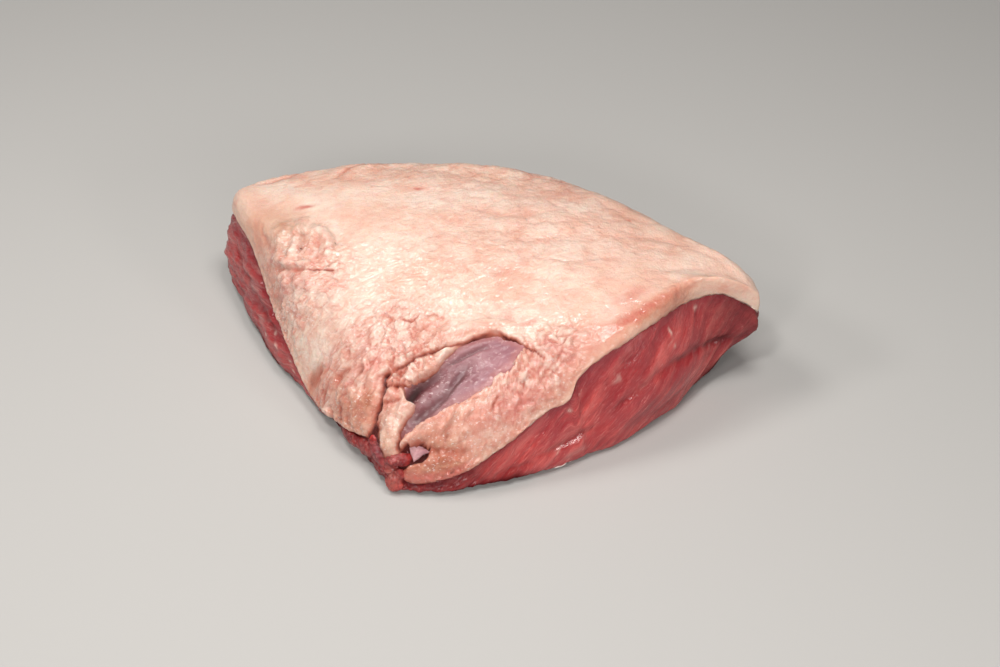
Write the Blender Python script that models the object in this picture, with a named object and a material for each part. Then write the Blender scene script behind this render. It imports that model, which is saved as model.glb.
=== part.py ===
"""A whole raw picanha: the lean muscle, flat underneath where it lies, and the fat cap that covers it.

Both solids are lofts round one hub. Stations round the edge of the cap give its height, its rounded shoulder,
the face that ends the fat and the meat below it; everything between the stations is worked out by the functions.
The fat and the muscle meet along one seam, with a fine gap. Near the tip the cap has a window, where the
membrane on the muscle shows. Metres, +Z up, the long cut side towards -Y.
"""

from math import cos, pi, radians, sin

import bmesh
import bpy
import numpy as np

MM = 0.001

# ---- The whole cut -------------------------------------------------------------------------------------------
LENGTH = 255 * MM  # the whole cut is brought to this length, and everything below goes with it
HUB = np.array([-6.0, 12.0]) * MM  # plan point that both lofts turn about
CROWN_HEIGHT = 70 * MM  # top of the cap, above the hub
CROWN_WEIGHT = 4  # how strongly the smooth crown keeps to that height
EDGE_POWER = 8  # how late the cap leaves the smooth crown for the height of its edge
CAP_THICKNESS = 11 * MM  # fat between the crown and the muscle
THICKNESS_RUN = 20 * MM  # the cap reaches full thickness this far in from its edge
GAP = 0.6 * MM  # fat to muscle, straight up and down
LIP_BULGE = 0.8 * MM  # roundness of the face that ends the fat
SOLE_INSET = 9 * MM  # the flat sole starts this far in from the foot of the muscle

# ---- Stations round the edge of the cap, anticlockwise seen from above, in millimetres and degrees -----------
# x, y              where the edge of the fat stands in plan
# low, lip          height of the lower edge of the fat, and of the face above it
# drop, run, roll   how far the shoulder above that face falls, over what distance, and its steepest slope
# belly, belly_z    how far the muscle stands out past the fat at its widest, and at what height
# foot, foot_z      the same where the muscle turns under
COLUMNS = "x y low lip drop run roll belly belly_z foot foot_z".split()
STATIONS = {
    "right_corner": (125, 5, 40, 10, 4, 7, 80, -1, 30, -18, 10),
    "right_side": (123, 16, 39, 9, 7, 10, 84, -1, 26, -12, 8),
    "right_flank": (111, 29, 39, 8, 12, 13, 86, -2, 23, -12, 7),
    "back_right": (94, 43, 38, 8, 14, 14, 88, -1, 22, -9, 6),
    "back_high": (69, 65, 36, 9, 17, 17, 88, 0, 20, -8, 5),
    "back_middle": (24, 94, 33, 10, 20, 18, 88, 1, 18, -6, 4),
    "back_left": (-35, 105, 32, 10, 20, 18, 88, 1, 18, -6, 4),
    "back_shoulder": (-96, 103, 33, 9, 15, 14, 85, 2, 20, -4, 4),
    "back_corner": (-125, 96, 36, 7, 10, 10, 86, 3, 21, -2, 5),
    "left_corner": (-136, 88, 39, 5, 8, 8, 88, 5, 22, 1, 5),
    "left_shoulder": (-131, 73, 40, 4, 8, 10, 88, 10, 18, 8, 5),
    "left_high": (-122, 50, 39, 4, 11, 14, 86, 10, 15, 7, 4),
    "left_middle": (-110, 18, 26, 4, 22, 20, 80, 5, 12, 4, 3),
    "left_low": (-91, -22, 8, 4, 33, 30, 75, -1, 4, -3.5, 2),
    "tip_left": (-73, -47, 11, 5, 22, 22, 78, -1, 6, -1.5, 2),
    "tip_notch": (-57, -65, 17, 4, 12, 16, 75, 3, 9, 1, 3),
    "tip_point": (-50, -73, 10, 4, 13, 16, 75, 6, 7, 4, 3),
    "tip": (-41, -79, 5, 5, 14, 16, 75, 3, 4, 1, 2),
    "tip_right": (-22, -79.5, 10, 3, 13, 20, 62, 3, 5, 2, 2),
    "front_low": (0, -72, 20, 3, 14, 22, 58, 3, 11, 4, 3),
    "front_step": (22, -61, 34, 3, 12, 20, 60, 4, 18, 6, 3),
    "front_corner": (32, -56, 36, 3, 12, 18, 60, 4, 20, 6, 3),
    "front_notch": (36, -51, 45, 3, 6, 12, 55, 6, 22, 8, 3),
    "front_rise": (48, -43, 52, 3, 2, 6, 50, 9, 24, 10, 3),
    "front_middle": (61, -34, 55, 4, 2, 4, 60, 10, 25, 9, 3),
    "front_lift": (75, -21, 56, 6, 2, 4, 70, 10, 25, 10, 4),
    "front_right": (90, -6, 55, 9, 3, 4, 75, 9, 25, 6, 5),
    "front_end": (105, -1, 55.5, 8, 3, 5, 75, 5, 28, -1, 8),
    "front_tail": (116, 2, 49, 9, 3, 6, 78, 2, 30, -10, 9),
}

# ---- Swellings and grooves on the outside of the fat ---------------------------------------------------------
# x, y of the middle, half length, half width, heading of the length in degrees, height (grooves below zero)
RELIEF = {
    "corner_roll": (-127, 68, 20, 6, -66, 1.5),
    "left_swelling": (-107, 44, 10, 7, -52, 2.2),
    "ring_fold": (-93, 31, 8, 6, -30, 1.8),
    "left_slit": (-96, 20, 16, 4, -34, -2.6),
    "left_lumps": (-100, 11, 8, 6, -40, 1.2),
    "window_lip": (-20, -36, 25, 6, 14, 3.0),
    "lip_end": (-46, -43, 9, 7, 40, 2.0),
    "left_lobe": (-66, -42, 12, 8, -55, 2.0),
    "lobe_groove": (-54, -54, 11, 5, 50, -3.2),
    "strip_lobe": (-48, -63, 9, 6, 55, 2.2),
    "strip_groove": (-41, -70, 7, 4.5, 52, -2.4),
    "front_lobe": (-16, -66, 15, 7, 12, 1.8),
    "tip_fold": (-26, -74, 11, 3.5, -6, -2.6),
}
RELIEF_FADE = 8 * MM  # the relief comes in over this distance from the edge of the cap

# ---- The window near the tip ---------------------------------------------------------------------------------
WINDOW = [
    (-44, -67),
    (-32, -63),
    (-17, -59),
    (-3, -55),
    (6, -50),
    (13, -45),
    (9, -39),
    (-3, -34),
    (-16, -37),
    (-30, -44),
    (-41, -52),
    (-46, -59),
]
WINDOW_POINTS = 48
WINDOW_FADE = 16 * MM  # the fat thins over this distance towards the window
WINDOW_HEAD = np.array([-0.35, 0.94])  # direction in plan from the thin border of the window to the thick one
THIN_BORDER = 1.6 * MM
THICK_BORDER = 5.5 * MM
CUT_BOTTOM = 10 * MM
CUT_TOP = 90 * MM

# ---- Folds along the sides of the muscle: points they run through, depth and half width in millimetres -------
FOLDS = {
    "front_fold": ([(44, -55, 15), (62, -41, 20), (82, -20, 27), (103, 0, 25), (118, 8, 23)], 2.2, 4.0),
    "front_heel": ([(-20, -82, 3), (5, -74, 8), (28, -63, 14), (44, -55, 17)], 1.2, 3.5),
    "left_fold": ([(-138, 74, 28), (-126, 40, 22), (-112, 5, 12), (-98, -20, 6)], 1.8, 4.0),
}

# ---- Resolution ----------------------------------------------------------------------------------------------
PATCH = 40  # squares along one side of the grid over the crown, and half of that at the seam
SHOULDER_RINGS = 5
LIP_RINGS = 2
SEAM_INSETS = [0.0, 1.5, 5.0, 11.0]  # millimetres; from the last of them the coarser grid takes over
WALL_RINGS = 10


def smooth(t):
    """Eases from 0 to 1 as t goes from 0 to 1."""
    t = np.clip(t, 0, 1)
    return t * t * (3 - 2 * t)


def hermite(u, start, end, start_slope, end_slope):
    return (
        (2 * u**3 - 3 * u**2 + 1) * start
        + (u**3 - 2 * u**2 + u) * start_slope
        + (3 * u**2 - 2 * u**3) * end
        + (u**3 - u**2) * end_slope
    )


def periodic(knots, values, at):
    """A smooth closed curve through values at the rising knots in 0..1, read at the places at."""
    count = len(knots)
    index = np.searchsorted(knots, at % 1.0, side="right") - 1
    wrapped = np.concatenate([knots[-1:] - 1, knots, knots[:2] + 1])
    rows = np.concatenate([values[-1:], values, values[:2]])
    slopes = (rows[2:] - rows[:-2]) / (wrapped[2:] - wrapped[:-2])
    start = wrapped[index + 1]
    span = wrapped[index + 2] - start
    after = (index + 1) % count
    u = (at % 1.0 - start) / span
    return hermite(u, values[index], values[after], span * slopes[index], span * slopes[after])


def quadratic_terms(place):
    x, y = place[..., 0], place[..., 1]
    return np.stack([np.ones_like(x), x, y, x * x, x * y, y * y], axis=-1)


def station_columns():
    table = np.array(list(STATIONS.values()), float)
    steps = np.linalg.norm(np.roll(table[:, :2], -1, axis=0) - table[:, :2], axis=1)
    knots = np.concatenate([[0.0], np.cumsum(steps)[:-1]]) / steps.sum()
    columns = dict(zip(COLUMNS, table.T * MM))
    columns["roll"] = np.radians(table[:, COLUMNS.index("roll")])
    columns["top"] = columns["low"] + columns["lip"] + columns["drop"]
    return knots, columns


def fit_crown():
    """The quadratic surface that comes nearest to the tops of the stations and to the crown height."""
    knots, columns = station_columns()
    edge = np.stack([columns["x"], columns["y"]], axis=-1)
    rows = np.concatenate([quadratic_terms(edge), quadratic_terms(HUB)[None] * CROWN_WEIGHT])
    heights = np.append(columns["top"], CROWN_HEIGHT * CROWN_WEIGHT)
    return np.linalg.lstsq(rows, heights, rcond=None)[0]


class Rim:
    """The stations, smoothed: every column as an array over the places at, which run 0..1 round the edge."""

    crown = fit_crown()

    def __init__(self, at):
        knots, columns = station_columns()
        for name, column in columns.items():
            setattr(self, name, periodic(knots, column, at))
        self.edge = np.stack([self.x, self.y], axis=-1)
        inward = HUB - self.edge
        self.reach = np.linalg.norm(inward, axis=-1)
        self.inward = inward / self.reach[..., None]
        self.rise = self.top - quadratic_terms(self.edge) @ self.crown


def plan(rim, inset):
    """The plan point this far in from the edge, towards the hub."""
    return rim.edge + inset[..., None] * rim.inward


def relief_height(place):
    """Height that the swellings and grooves add at a plan point."""
    total = np.zeros(place.shape[:-1])
    for x, y, long, wide, heading, height in RELIEF.values():
        along = np.array([cos(radians(heading)), sin(radians(heading))])
        across = np.array([-along[1], along[0]])
        offset = place - np.array([x, y]) * MM
        u = offset @ along / (long * MM)
        v = offset @ across / (wide * MM)
        total += height * MM * np.exp(-(u**2) - v**2)
    return total


def smooth_height(rim, inset):
    """Height of the outside of the fat without its relief, this far in from its edge."""
    share = 1 - inset / rim.reach
    dome = quadratic_terms(plan(rim, inset)) @ rim.crown + rim.rise * share**EDGE_POWER
    sine = np.clip((1 - inset / rim.run) * np.sin(rim.roll), 0, 1)
    fall = rim.drop * (1 - np.sqrt(1 - sine**2)) / (1 - np.cos(rim.roll))
    return dome - fall


def outer_height(rim, inset):
    """Height of the outside of the fat, this far in from its edge."""
    fade = smooth(inset / RELIEF_FADE)
    return smooth_height(rim, inset) + fade * relief_height(plan(rim, inset))


def window_outline():
    corners = np.array(WINDOW, float) * MM
    knots = np.arange(len(corners)) / len(corners)
    at = np.arange(WINDOW_POINTS) / WINDOW_POINTS
    return np.stack([periodic(knots, column, at) for column in corners.T], axis=-1)


def window_distance(place):
    """How far a plan point lies outside the window, and nothing inside it."""
    outline = window_outline()
    after = np.roll(outline, -1, axis=0)
    nearest = np.full(place.shape[:-1], np.inf)
    turns = np.zeros(place.shape[:-1])
    for start, end in zip(outline, after):
        side = end - start
        along = np.clip((place - start) @ side / (side @ side), 0, 1)
        gap = np.linalg.norm(place - start - along[..., None] * side, axis=-1)
        nearest = np.minimum(nearest, gap)
        a, b = start - place, end - place
        turns += np.arctan2(a[..., 0] * b[..., 1] - a[..., 1] * b[..., 0], (a * b).sum(axis=-1))
    return np.where(abs(turns) > pi, 0, nearest)


def thickness(rim, inset):
    """Thickness of the fat measured straight down: thin at its edge and thinner still round the window."""
    whole = rim.lip + (CAP_THICKNESS - rim.lip) * smooth(inset / THICKNESS_RUN)
    place = plan(rim, inset)
    outline = window_outline()
    ends = outline @ WINDOW_HEAD
    share = (place @ WINDOW_HEAD - ends.min()) / (ends.max() - ends.min())
    border = THIN_BORDER + (THICK_BORDER - THIN_BORDER) * smooth(share)
    near = 1 - smooth(window_distance(place) / WINDOW_FADE)
    return whole + (np.minimum(border, whole) - whole) * near * smooth(inset / RELIEF_FADE)


def seam_height(rim, inset):
    """Height of the face of the fat that lies on the muscle."""
    return smooth_height(rim, inset) - thickness(rim, inset)


def disc_grid(squares):
    """A square grid laid on a disc: place round the rim, share of the radius, the squares and the border."""
    line = np.linspace(-1, 1, squares + 1)
    u, v = (a.ravel() for a in np.meshgrid(line, line))
    share = np.maximum(abs(u), abs(v))
    wide = abs(u) >= abs(v)
    major, minor = np.where(wide, u, v), np.where(wide, v, u)
    slant = pi / 4 * minor / np.where(major == 0, 1, major)
    angle = np.where(wide, slant, pi / 2 - slant) + np.where(major < 0, pi, 0)
    row = squares + 1
    first = (np.arange(squares)[:, None] * row + np.arange(squares)).ravel()
    faces = np.stack([first, first + 1, first + row + 1, first + row], axis=1)
    lower = np.arange(squares)
    right = np.arange(squares) * row + squares
    upper = squares * row + np.arange(squares, 0, -1)
    left = np.arange(squares, 0, -1) * row
    return angle / (2 * pi) % 1.0, share, faces, np.concatenate([lower, right, upper, left])


class Sheet:
    """Part of a loft: points and triangles, all facing up and out, and the ring of points where it ends."""

    def __init__(self, squares, inset_of, height_of):
        place, share, faces, border = disc_grid(squares)
        rim = Rim(place)
        inset = rim.reach - share * (rim.reach - inset_of(rim))
        self.points = np.column_stack([plan(rim, inset), height_of(rim, inset)])
        self.triangles = np.empty((0, 3), int)
        self.join_squares(faces)
        self.ring = border
        self.rim = Rim(place[border])

    def add_points(self, rim, inset, height):
        inset = np.broadcast_to(inset, rim.reach.shape)
        numbers = len(self.points) + np.arange(len(inset))
        self.points = np.concatenate([self.points, np.column_stack([plan(rim, inset), height])])
        return numbers

    def add_ring(self, inset, height):
        """A further ring outside the last one, with as many points."""
        inner, outer = self.ring, self.add_points(self.rim, inset, height)
        self.join_squares(np.stack([outer, np.roll(outer, -1), np.roll(inner, -1), inner], axis=1))
        self.ring = outer

    def add_double_ring(self, rim, inset, height):
        """A further ring outside the last one, with twice as many points."""
        inner, outer = self.ring, self.add_points(rim, inset, height)
        even, odd = outer[::2], outer[1::2]
        after_inner, after_even = np.roll(inner, -1), np.roll(even, -1)
        self.join(np.stack([even, odd, inner], axis=1))
        self.join(np.stack([odd, after_even, after_inner], axis=1))
        self.join(np.stack([odd, after_inner, inner], axis=1))
        self.ring = outer
        self.rim = rim

    def join(self, triangles):
        self.triangles = np.concatenate([self.triangles, triangles])

    def join_squares(self, squares):
        """Two triangles for each square, split along its shorter diagonal."""
        corners = self.points[squares]
        diagonals = np.linalg.norm(corners[:, :2] - corners[:, 2:], axis=2)
        short = diagonals[:, 0] <= diagonals[:, 1]
        first = np.where(short[:, None], squares[:, [0, 1, 2]], squares[:, [0, 1, 3]])
        second = np.where(short[:, None], squares[:, [0, 2, 3]], squares[:, [1, 2, 3]])
        self.join(np.concatenate([first, second]))


def seam_sheet(lowered):
    """The seam as far as the edge of the cap. The same triangles close the fat below and the muscle above."""

    def height_of(rim, inset):
        return seam_height(rim, inset) - lowered

    insets = [value * MM for value in SEAM_INSETS]
    sheet = Sheet(PATCH // 2, lambda rim: np.full_like(rim.reach, insets[-1]), height_of)
    fine = fine_rim()
    for inset in insets[-2::-1]:
        row = np.full_like(fine.reach, inset)
        if sheet.rim.reach.shape != fine.reach.shape:
            sheet.add_double_ring(fine, row, height_of(fine, row))
        else:
            sheet.add_ring(row, height_of(fine, row))
    return sheet


def fine_rim():
    place, share, faces, border = disc_grid(PATCH)
    return Rim(place[border])


def crown_sheet():
    """The outside of the fat: crown, rounded shoulder and the face that ends it."""
    sheet = Sheet(PATCH, lambda rim: rim.run, outer_height)
    rim = sheet.rim
    for slope in np.linspace(0, 1, SHOULDER_RINGS + 1)[1:]:
        inset = rim.run * (1 - np.sin(slope * rim.roll) / np.sin(rim.roll))
        sheet.add_ring(inset, outer_height(rim, inset))
    shoulder_foot = outer_height(rim, np.zeros_like(rim.reach))
    for share in np.linspace(0, 1, LIP_RINGS + 1)[1:]:
        bulge = LIP_BULGE * sin(pi * share)
        sheet.add_ring(np.full_like(rim.reach, -bulge), shoulder_foot - share * rim.lip)
    return sheet


def fold_inset(points):
    """How far the folds along its sides draw the muscle in at these points."""
    inset = np.zeros(len(points))
    for path, depth, wide in FOLDS.values():
        path = np.array(path, float) * MM
        nearest = np.full(len(points), np.inf)
        for start, end in zip(path, path[1:]):
            side = end - start
            along = np.clip((points - start) @ side / (side @ side), 0, 1)
            gap = np.linalg.norm(points - start - along[:, None] * side, axis=1)
            nearest = np.minimum(nearest, gap)
        inset += depth * MM * np.exp(-((nearest / (wide * MM)) ** 2))
    return inset


def wall(rim, start, share):
    """The side of the muscle at this share of the way down: out past the edge of the fat, and height."""
    outs = [np.zeros_like(start), rim.belly, rim.foot, rim.foot - SOLE_INSET]
    heights = [start, np.minimum(rim.belly_z, start * 0.7), rim.foot_z, np.zeros_like(start)]
    stretch = min(int(share * 3), 2)
    before, after = max(stretch - 1, 0), min(stretch + 2, 3)
    row = []
    for knots in (outs, heights):
        start_slope = (knots[stretch + 1] - knots[before]) / 2
        end_slope = (knots[after] - knots[stretch]) / 2
        row.append(hermite(share * 3 - stretch, knots[stretch], knots[stretch + 1], start_slope, end_slope))
    return row[0], np.maximum(row[1], 0)


def muscle_sheet():
    """The muscle above its sole: the seam, then the sides down to the flat sole."""
    sheet = seam_sheet(GAP)
    rim = sheet.rim
    start = seam_height(rim, np.zeros_like(rim.reach)) - GAP
    for share in np.linspace(0, 1, WALL_RINGS + 1)[1:]:
        out, height = wall(rim, start, share)
        drawn_in = fold_inset(np.column_stack([plan(rim, -out), height]))
        sheet.add_ring(drawn_in - out, height)
    return sheet


def placing(points):
    """A function that brings points to the named length, with the whole cut centred over the origin."""
    low, high = points.min(axis=0), points.max(axis=0)
    middle = np.array([low[0] + high[0], low[1] + high[1], 0]) / 2
    scale = LENGTH / (high[0] - low[0])
    return lambda some: (some - middle[: some.shape[1]]) * scale


def add_object(name, blocks, collection, material=None):
    """An object from blocks of (points, faces), joined where their points meet."""
    bm = bmesh.new()
    for points, faces in blocks:
        corners = [bm.verts.new(point) for point in points]
        for face in faces:
            bm.faces.new([corners[number] for number in face])
    bmesh.ops.remove_doubles(bm, verts=bm.verts, dist=1e-6)
    bmesh.ops.recalc_face_normals(bm, faces=bm.faces)
    mesh = bpy.data.meshes.new(name)
    bm.to_mesh(mesh)
    bm.free()
    if material:
        mesh.materials.append(material)
    obj = bpy.data.objects.new(name, mesh)
    collection.objects.link(obj)
    return obj


def add_window_cutter(placed, collection):
    outline = placed(window_outline())
    count = len(outline)
    lower = np.column_stack([outline, np.full(count, CUT_BOTTOM)])
    upper = np.column_stack([outline, np.full(count, CUT_TOP)])
    sides = [(i, (i + 1) % count, (i + 1) % count + count, i + count) for i in range(count)]
    ends = [tuple(range(count))[::-1], tuple(range(count, 2 * count))]
    cutter = add_object("window_cutter", [(np.concatenate([lower, upper]), sides + ends)], collection)
    cutter.hide_render = True
    cutter.display_type = "WIRE"
    return cutter


def cut(target, cutter):
    modifier = target.modifiers.new("window", "BOOLEAN")
    modifier.operation = "DIFFERENCE"
    modifier.solver = "EXACT"
    modifier.object = cutter


def plain_material(name, colour, roughness):
    material = bpy.data.materials.new(name)
    material.use_nodes = True
    shader = material.node_tree.nodes["Principled BSDF"]
    shader.inputs["Base Color"].default_value = (*colour, 1)
    shader.inputs["Roughness"].default_value = roughness
    shader.inputs["Metallic"].default_value = 0
    return material


def new_collection(name):
    collection = bpy.data.collections.new(name)
    bpy.context.scene.collection.children.link(collection)
    return collection


def main():
    for obj in list(bpy.data.objects):
        bpy.data.objects.remove(obj)
    picanha = new_collection("raw_picanha")
    cutters = new_collection("cutters")
    fat = plain_material("beef_fat", (0.80, 0.58, 0.46), 0.45)
    lean = plain_material("beef_lean", (0.36, 0.06, 0.06), 0.35)

    crown, seam, muscle = crown_sheet(), seam_sheet(0.0), muscle_sheet()
    placed = placing(np.concatenate([crown.points, muscle.points]))
    fat_blocks = [(placed(crown.points), crown.triangles), (placed(seam.points), seam.triangles[:, ::-1])]
    fat_cap = add_object("fat_cap", fat_blocks, picanha, fat)
    muscle_faces = [tuple(triangle) for triangle in muscle.triangles] + [tuple(muscle.ring[::-1])]
    add_object("lean_muscle", [(placed(muscle.points), muscle_faces)], picanha, lean)
    cut(fat_cap, add_window_cutter(placed, cutters))


main()
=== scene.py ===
"""The looks of a raw picanha: its fat cap, its muscle and the membrane in its window, in a small studio.

The big shapes follow the same stations round the edge as the solids do. Finer relief is added here: lobes
and creases of the fat, its grain, the fibres and folds of the muscle, and the loose bits of tissue near the
tip. Everything is in millimetres on a drawing of the cut, and `placed` brings it into the frame.
"""

from math import cos, pi, radians, sin

import bpy
import numpy as np
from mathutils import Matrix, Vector


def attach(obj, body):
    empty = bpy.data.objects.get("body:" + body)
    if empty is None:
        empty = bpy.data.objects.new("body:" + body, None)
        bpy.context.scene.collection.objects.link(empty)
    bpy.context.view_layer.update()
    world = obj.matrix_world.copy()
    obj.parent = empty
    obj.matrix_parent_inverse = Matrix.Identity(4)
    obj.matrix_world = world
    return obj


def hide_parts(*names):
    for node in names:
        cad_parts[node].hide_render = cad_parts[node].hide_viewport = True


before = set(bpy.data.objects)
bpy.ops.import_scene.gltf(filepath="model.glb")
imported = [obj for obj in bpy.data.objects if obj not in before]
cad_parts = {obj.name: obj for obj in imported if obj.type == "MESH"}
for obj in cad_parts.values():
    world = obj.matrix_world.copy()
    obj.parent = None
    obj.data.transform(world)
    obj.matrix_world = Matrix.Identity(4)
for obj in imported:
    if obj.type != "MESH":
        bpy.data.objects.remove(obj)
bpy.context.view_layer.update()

# ---- From the drawing to the frame ----
SCALE = 0.9523344
MIDDLE = np.array([-7.6976, 11.9474, 0.0])

# ---- The whole cut, in millimetres of the drawing ----
HUB = np.array([-6.0, 12.0])  # plan point that the shapes turn about
CROWN_HEIGHT = 70  # top of the cap, above the hub
CROWN_WEIGHT = 4  # how strongly the smooth crown keeps to that height
EDGE_POWER = 8  # how late the cap leaves the smooth crown for the height of its edge
CAP_THICKNESS = 11
THICKNESS_RUN = 20  # the cap reaches full thickness this far in from its edge
GAP = 0.4  # fat to muscle
LIP_BULGE = 0.8  # roundness of the face that ends the fat
SOLE_INSET = 9  # the flat sole starts this far in from the foot of the muscle

# Stations round the edge of the fat, anticlockwise seen from above, in millimetres and degrees
# x, y              where the edge of the fat stands in plan
# low, lip          height of the lower edge of the fat, and of the face above it
# drop, run, roll   how far the shoulder above that face falls, over what distance, and its steepest slope
# belly, belly_z    how far the muscle stands out past the fat at its widest, and at what height
# foot, foot_z      the same where the muscle turns under
COLUMNS = "x y low lip drop run roll belly belly_z foot foot_z".split()
STATIONS = {
    "right_corner": (125, 5, 40, 10, 4, 7, 80, -1, 30, -18, 10),
    "right_side": (123, 16, 39, 9, 7, 10, 84, -1, 26, -12, 8),
    "right_flank": (111, 29, 39, 8, 12, 13, 86, -2, 23, -12, 7),
    "back_right": (94, 43, 38, 8, 14, 14, 88, -1, 22, -9, 6),
    "back_high": (69, 65, 36, 9, 17, 17, 88, 0, 20, -8, 5),
    "back_middle": (24, 94, 33, 10, 20, 18, 88, 1, 18, -6, 4),
    "back_left": (-35, 105, 32, 10, 20, 18, 88, 1, 18, -6, 4),
    "back_shoulder": (-96, 103, 33, 9, 15, 14, 85, 2, 20, -4, 4),
    "back_corner": (-125, 96, 36, 7, 10, 10, 86, 3, 21, -2, 5),
    "left_corner": (-136, 88, 39, 5, 8, 8, 88, 5, 22, 1, 5),
    "left_shoulder": (-131, 73, 40, 4, 8, 10, 88, 10, 18, 8, 5),
    "left_high": (-122, 50, 39, 4, 11, 14, 86, 10, 15, 7, 4),
    "left_middle": (-110, 18, 26, 4, 22, 20, 80, 5, 12, 4, 3),
    "left_low": (-91, -22, 8, 4, 33, 30, 75, -1, 4, -3.5, 2),
    "tip_left": (-73, -47, 11, 5, 22, 22, 78, -1, 6, -1.5, 2),
    "tip_notch": (-57, -65, 17, 4, 12, 16, 75, 3, 9, 1, 3),
    "tip_point": (-50, -73, 10, 4, 13, 16, 75, 6, 7, 4, 3),
    "tip": (-41, -79, 5, 5, 14, 16, 75, 3, 4, 1, 2),
    "tip_right": (-22, -79.5, 10, 3, 13, 20, 62, 3, 5, 2, 2),
    "front_low": (0, -72, 20, 3, 14, 22, 58, 3, 11, 4, 3),
    "front_step": (22, -61, 34, 3, 12, 20, 60, 4, 18, 6, 3),
    "front_corner": (32, -56, 36, 3, 12, 18, 60, 4, 20, 6, 3),
    "front_notch": (36, -51, 45, 3, 6, 12, 55, 6, 22, 8, 3),
    "front_rise": (48, -43, 52, 3, 2, 6, 50, 9, 24, 10, 3),
    "front_middle": (61, -34, 55, 4, 2, 4, 60, 10, 25, 9, 3),
    "front_lift": (75, -21, 56, 6, 2, 4, 70, 10, 25, 10, 4),
    "front_right": (90, -6, 55, 9, 3, 4, 75, 9, 25, 6, 5),
    "front_end": (105, -1, 55.5, 8, 3, 5, 75, 5, 28, -1, 8),
    "front_tail": (116, 2, 49, 9, 3, 6, 78, 2, 30, -10, 9),
}

# Broad swellings of the fat: x, y, half length, half width, heading in degrees, height
SWELLINGS = [
    (-127, 68, 20, 6, -66, 1.5),
    (-106, 42, 9, 7, -60, 3),
    (-91, 36, 9, 6, -35, 1.4),
    (-100, 11, 8, 6, -40, 1),
    (-20, -31, 26, 6, 8, 1.4),
    (-72, -38, 14, 9, -52, 1.2),
    (-18, -68, 18, 7, 10, 0.8),
    (-70, 92, 16, 6, 8, 1.6),
    (-8, 86, 22, 5, -8, 1.4),
    (50, 68, 18, 6, -34, 1.4),
    (106, 24, 12, 5, -38, 1),
]

# Lobes of fat: half width, height, and the path that each one follows
LOBES = {
    "lip_right": (3.4, 1, [(-21, -31.5), (-12.2, -29.4), (-3, -29.2), (5, -31.5)]),
    "lip_left": (3.2, 0.8, [(-38, -35), (-31, -33.4), (-21.1, -32)]),
    "lip_end": (3.4, 0.8, [(-51, -40), (-44, -37.8), (-37, -36.2)]),
    "strip_upper": (2.3, 1.5, [(-22, -38.8), (-26, -40.4), (-30.5, -41.6), (-36, -43.6)]),
    "strip_inner": (1.8, 1, [(-29.4, -44), (-34.5, -46.2), (-38.7, -49)]),
    "bead_upper": (2.7, 1.6, [(-41.5, -44.4), (-44.4, -46.1)]),
    "bead_left": (3, 1.6, [(-47.7, -47.2), (-49.6, -48.5)]),
    "bead_pale": (2.9, 1.3, [(-48.1, -52.9), (-52.3, -54.5), (-54.2, -57.3)]),
    "strip_middle": (3, 2.2, [(-43.8, -58.4), (-45.8, -60.8), (-48.4, -63.4)]),
    "strip_lobe": (5, 2.8, [(-49.4, -63.6), (-50.6, -67), (-49.4, -71)]),
    "knob": (1.8, 2, [(-41.4, -70.1), (-44.7, -72.3)]),
    "front_upper": (4.6, 2, [(-41.5, -69.6), (-35.3, -68), (-29.7, -67.1), (-21.2, -62.6)]),
    "front_lower": (4.6, 1.3, [(-24.1, -74.4), (-19.4, -70.9), (-14.2, -66.3)]),
    "front_stripe": (1.7, 2.4, [(-29.3, -73.6), (-27.6, -70.7), (-24.2, -67.5), (-20.8, -64.3)]),
    "front_right": (6.5, 0.9, [(-13.6, -71.2), (0, -65.1)]),
    "bottom": (5.4, 2.3, [(-47.4, -78.6), (-38.4, -81), (-29.8, -81), (-20.9, -79.6), (-11, -77.2)]),
    "left_big": (5.8, 2.2, [(-76, -40.5), (-68, -50.7), (-61, -58.2)]),
    "left_upper": (4.8, 1.3, [(-88.6, -24), (-79.3, -37)]),
    "left_tan": (3, 1.6, [(-60.8, -50.9), (-57, -56.8)]),
    "left_bead": (3.4, 1.1, [(-67, -39), (-60, -46)]),
    "ring": (2.8, 2.4, [(-96.8, 48.7), (-98.8, 40.7), (-99.4, 32.8), (-102.6, 27.2)]),
    "ring_right": (2.9, 2, [(-91.5, 42.2), (-86.3, 38.7), (-82.9, 30.4), (-84, 22.2)]),
    "ring_inner": (1.6, 2, [(-92, 34.5), (-92.3, 28.3), (-94.9, 23.3)]),
    "slit_lip": (1.4, 1.6, [(-110.5, 33.4), (-103.6, 25.6), (-97.3, 21.9), (-89.2, 18.8)]),
    "lump_left": (2.2, 1.3, [(-107, 23), (-103.5, 15.5)]),
    "lump_middle": (2, 1.3, [(-100, 18), (-96.5, 10)]),
    "lump_low": (2.4, 1.1, [(-100, 8.5), (-92, 1)]),
    "lump_right": (1.8, 0.9, [(-93.5, 12.5), (-90, 5)]),
}

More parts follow.
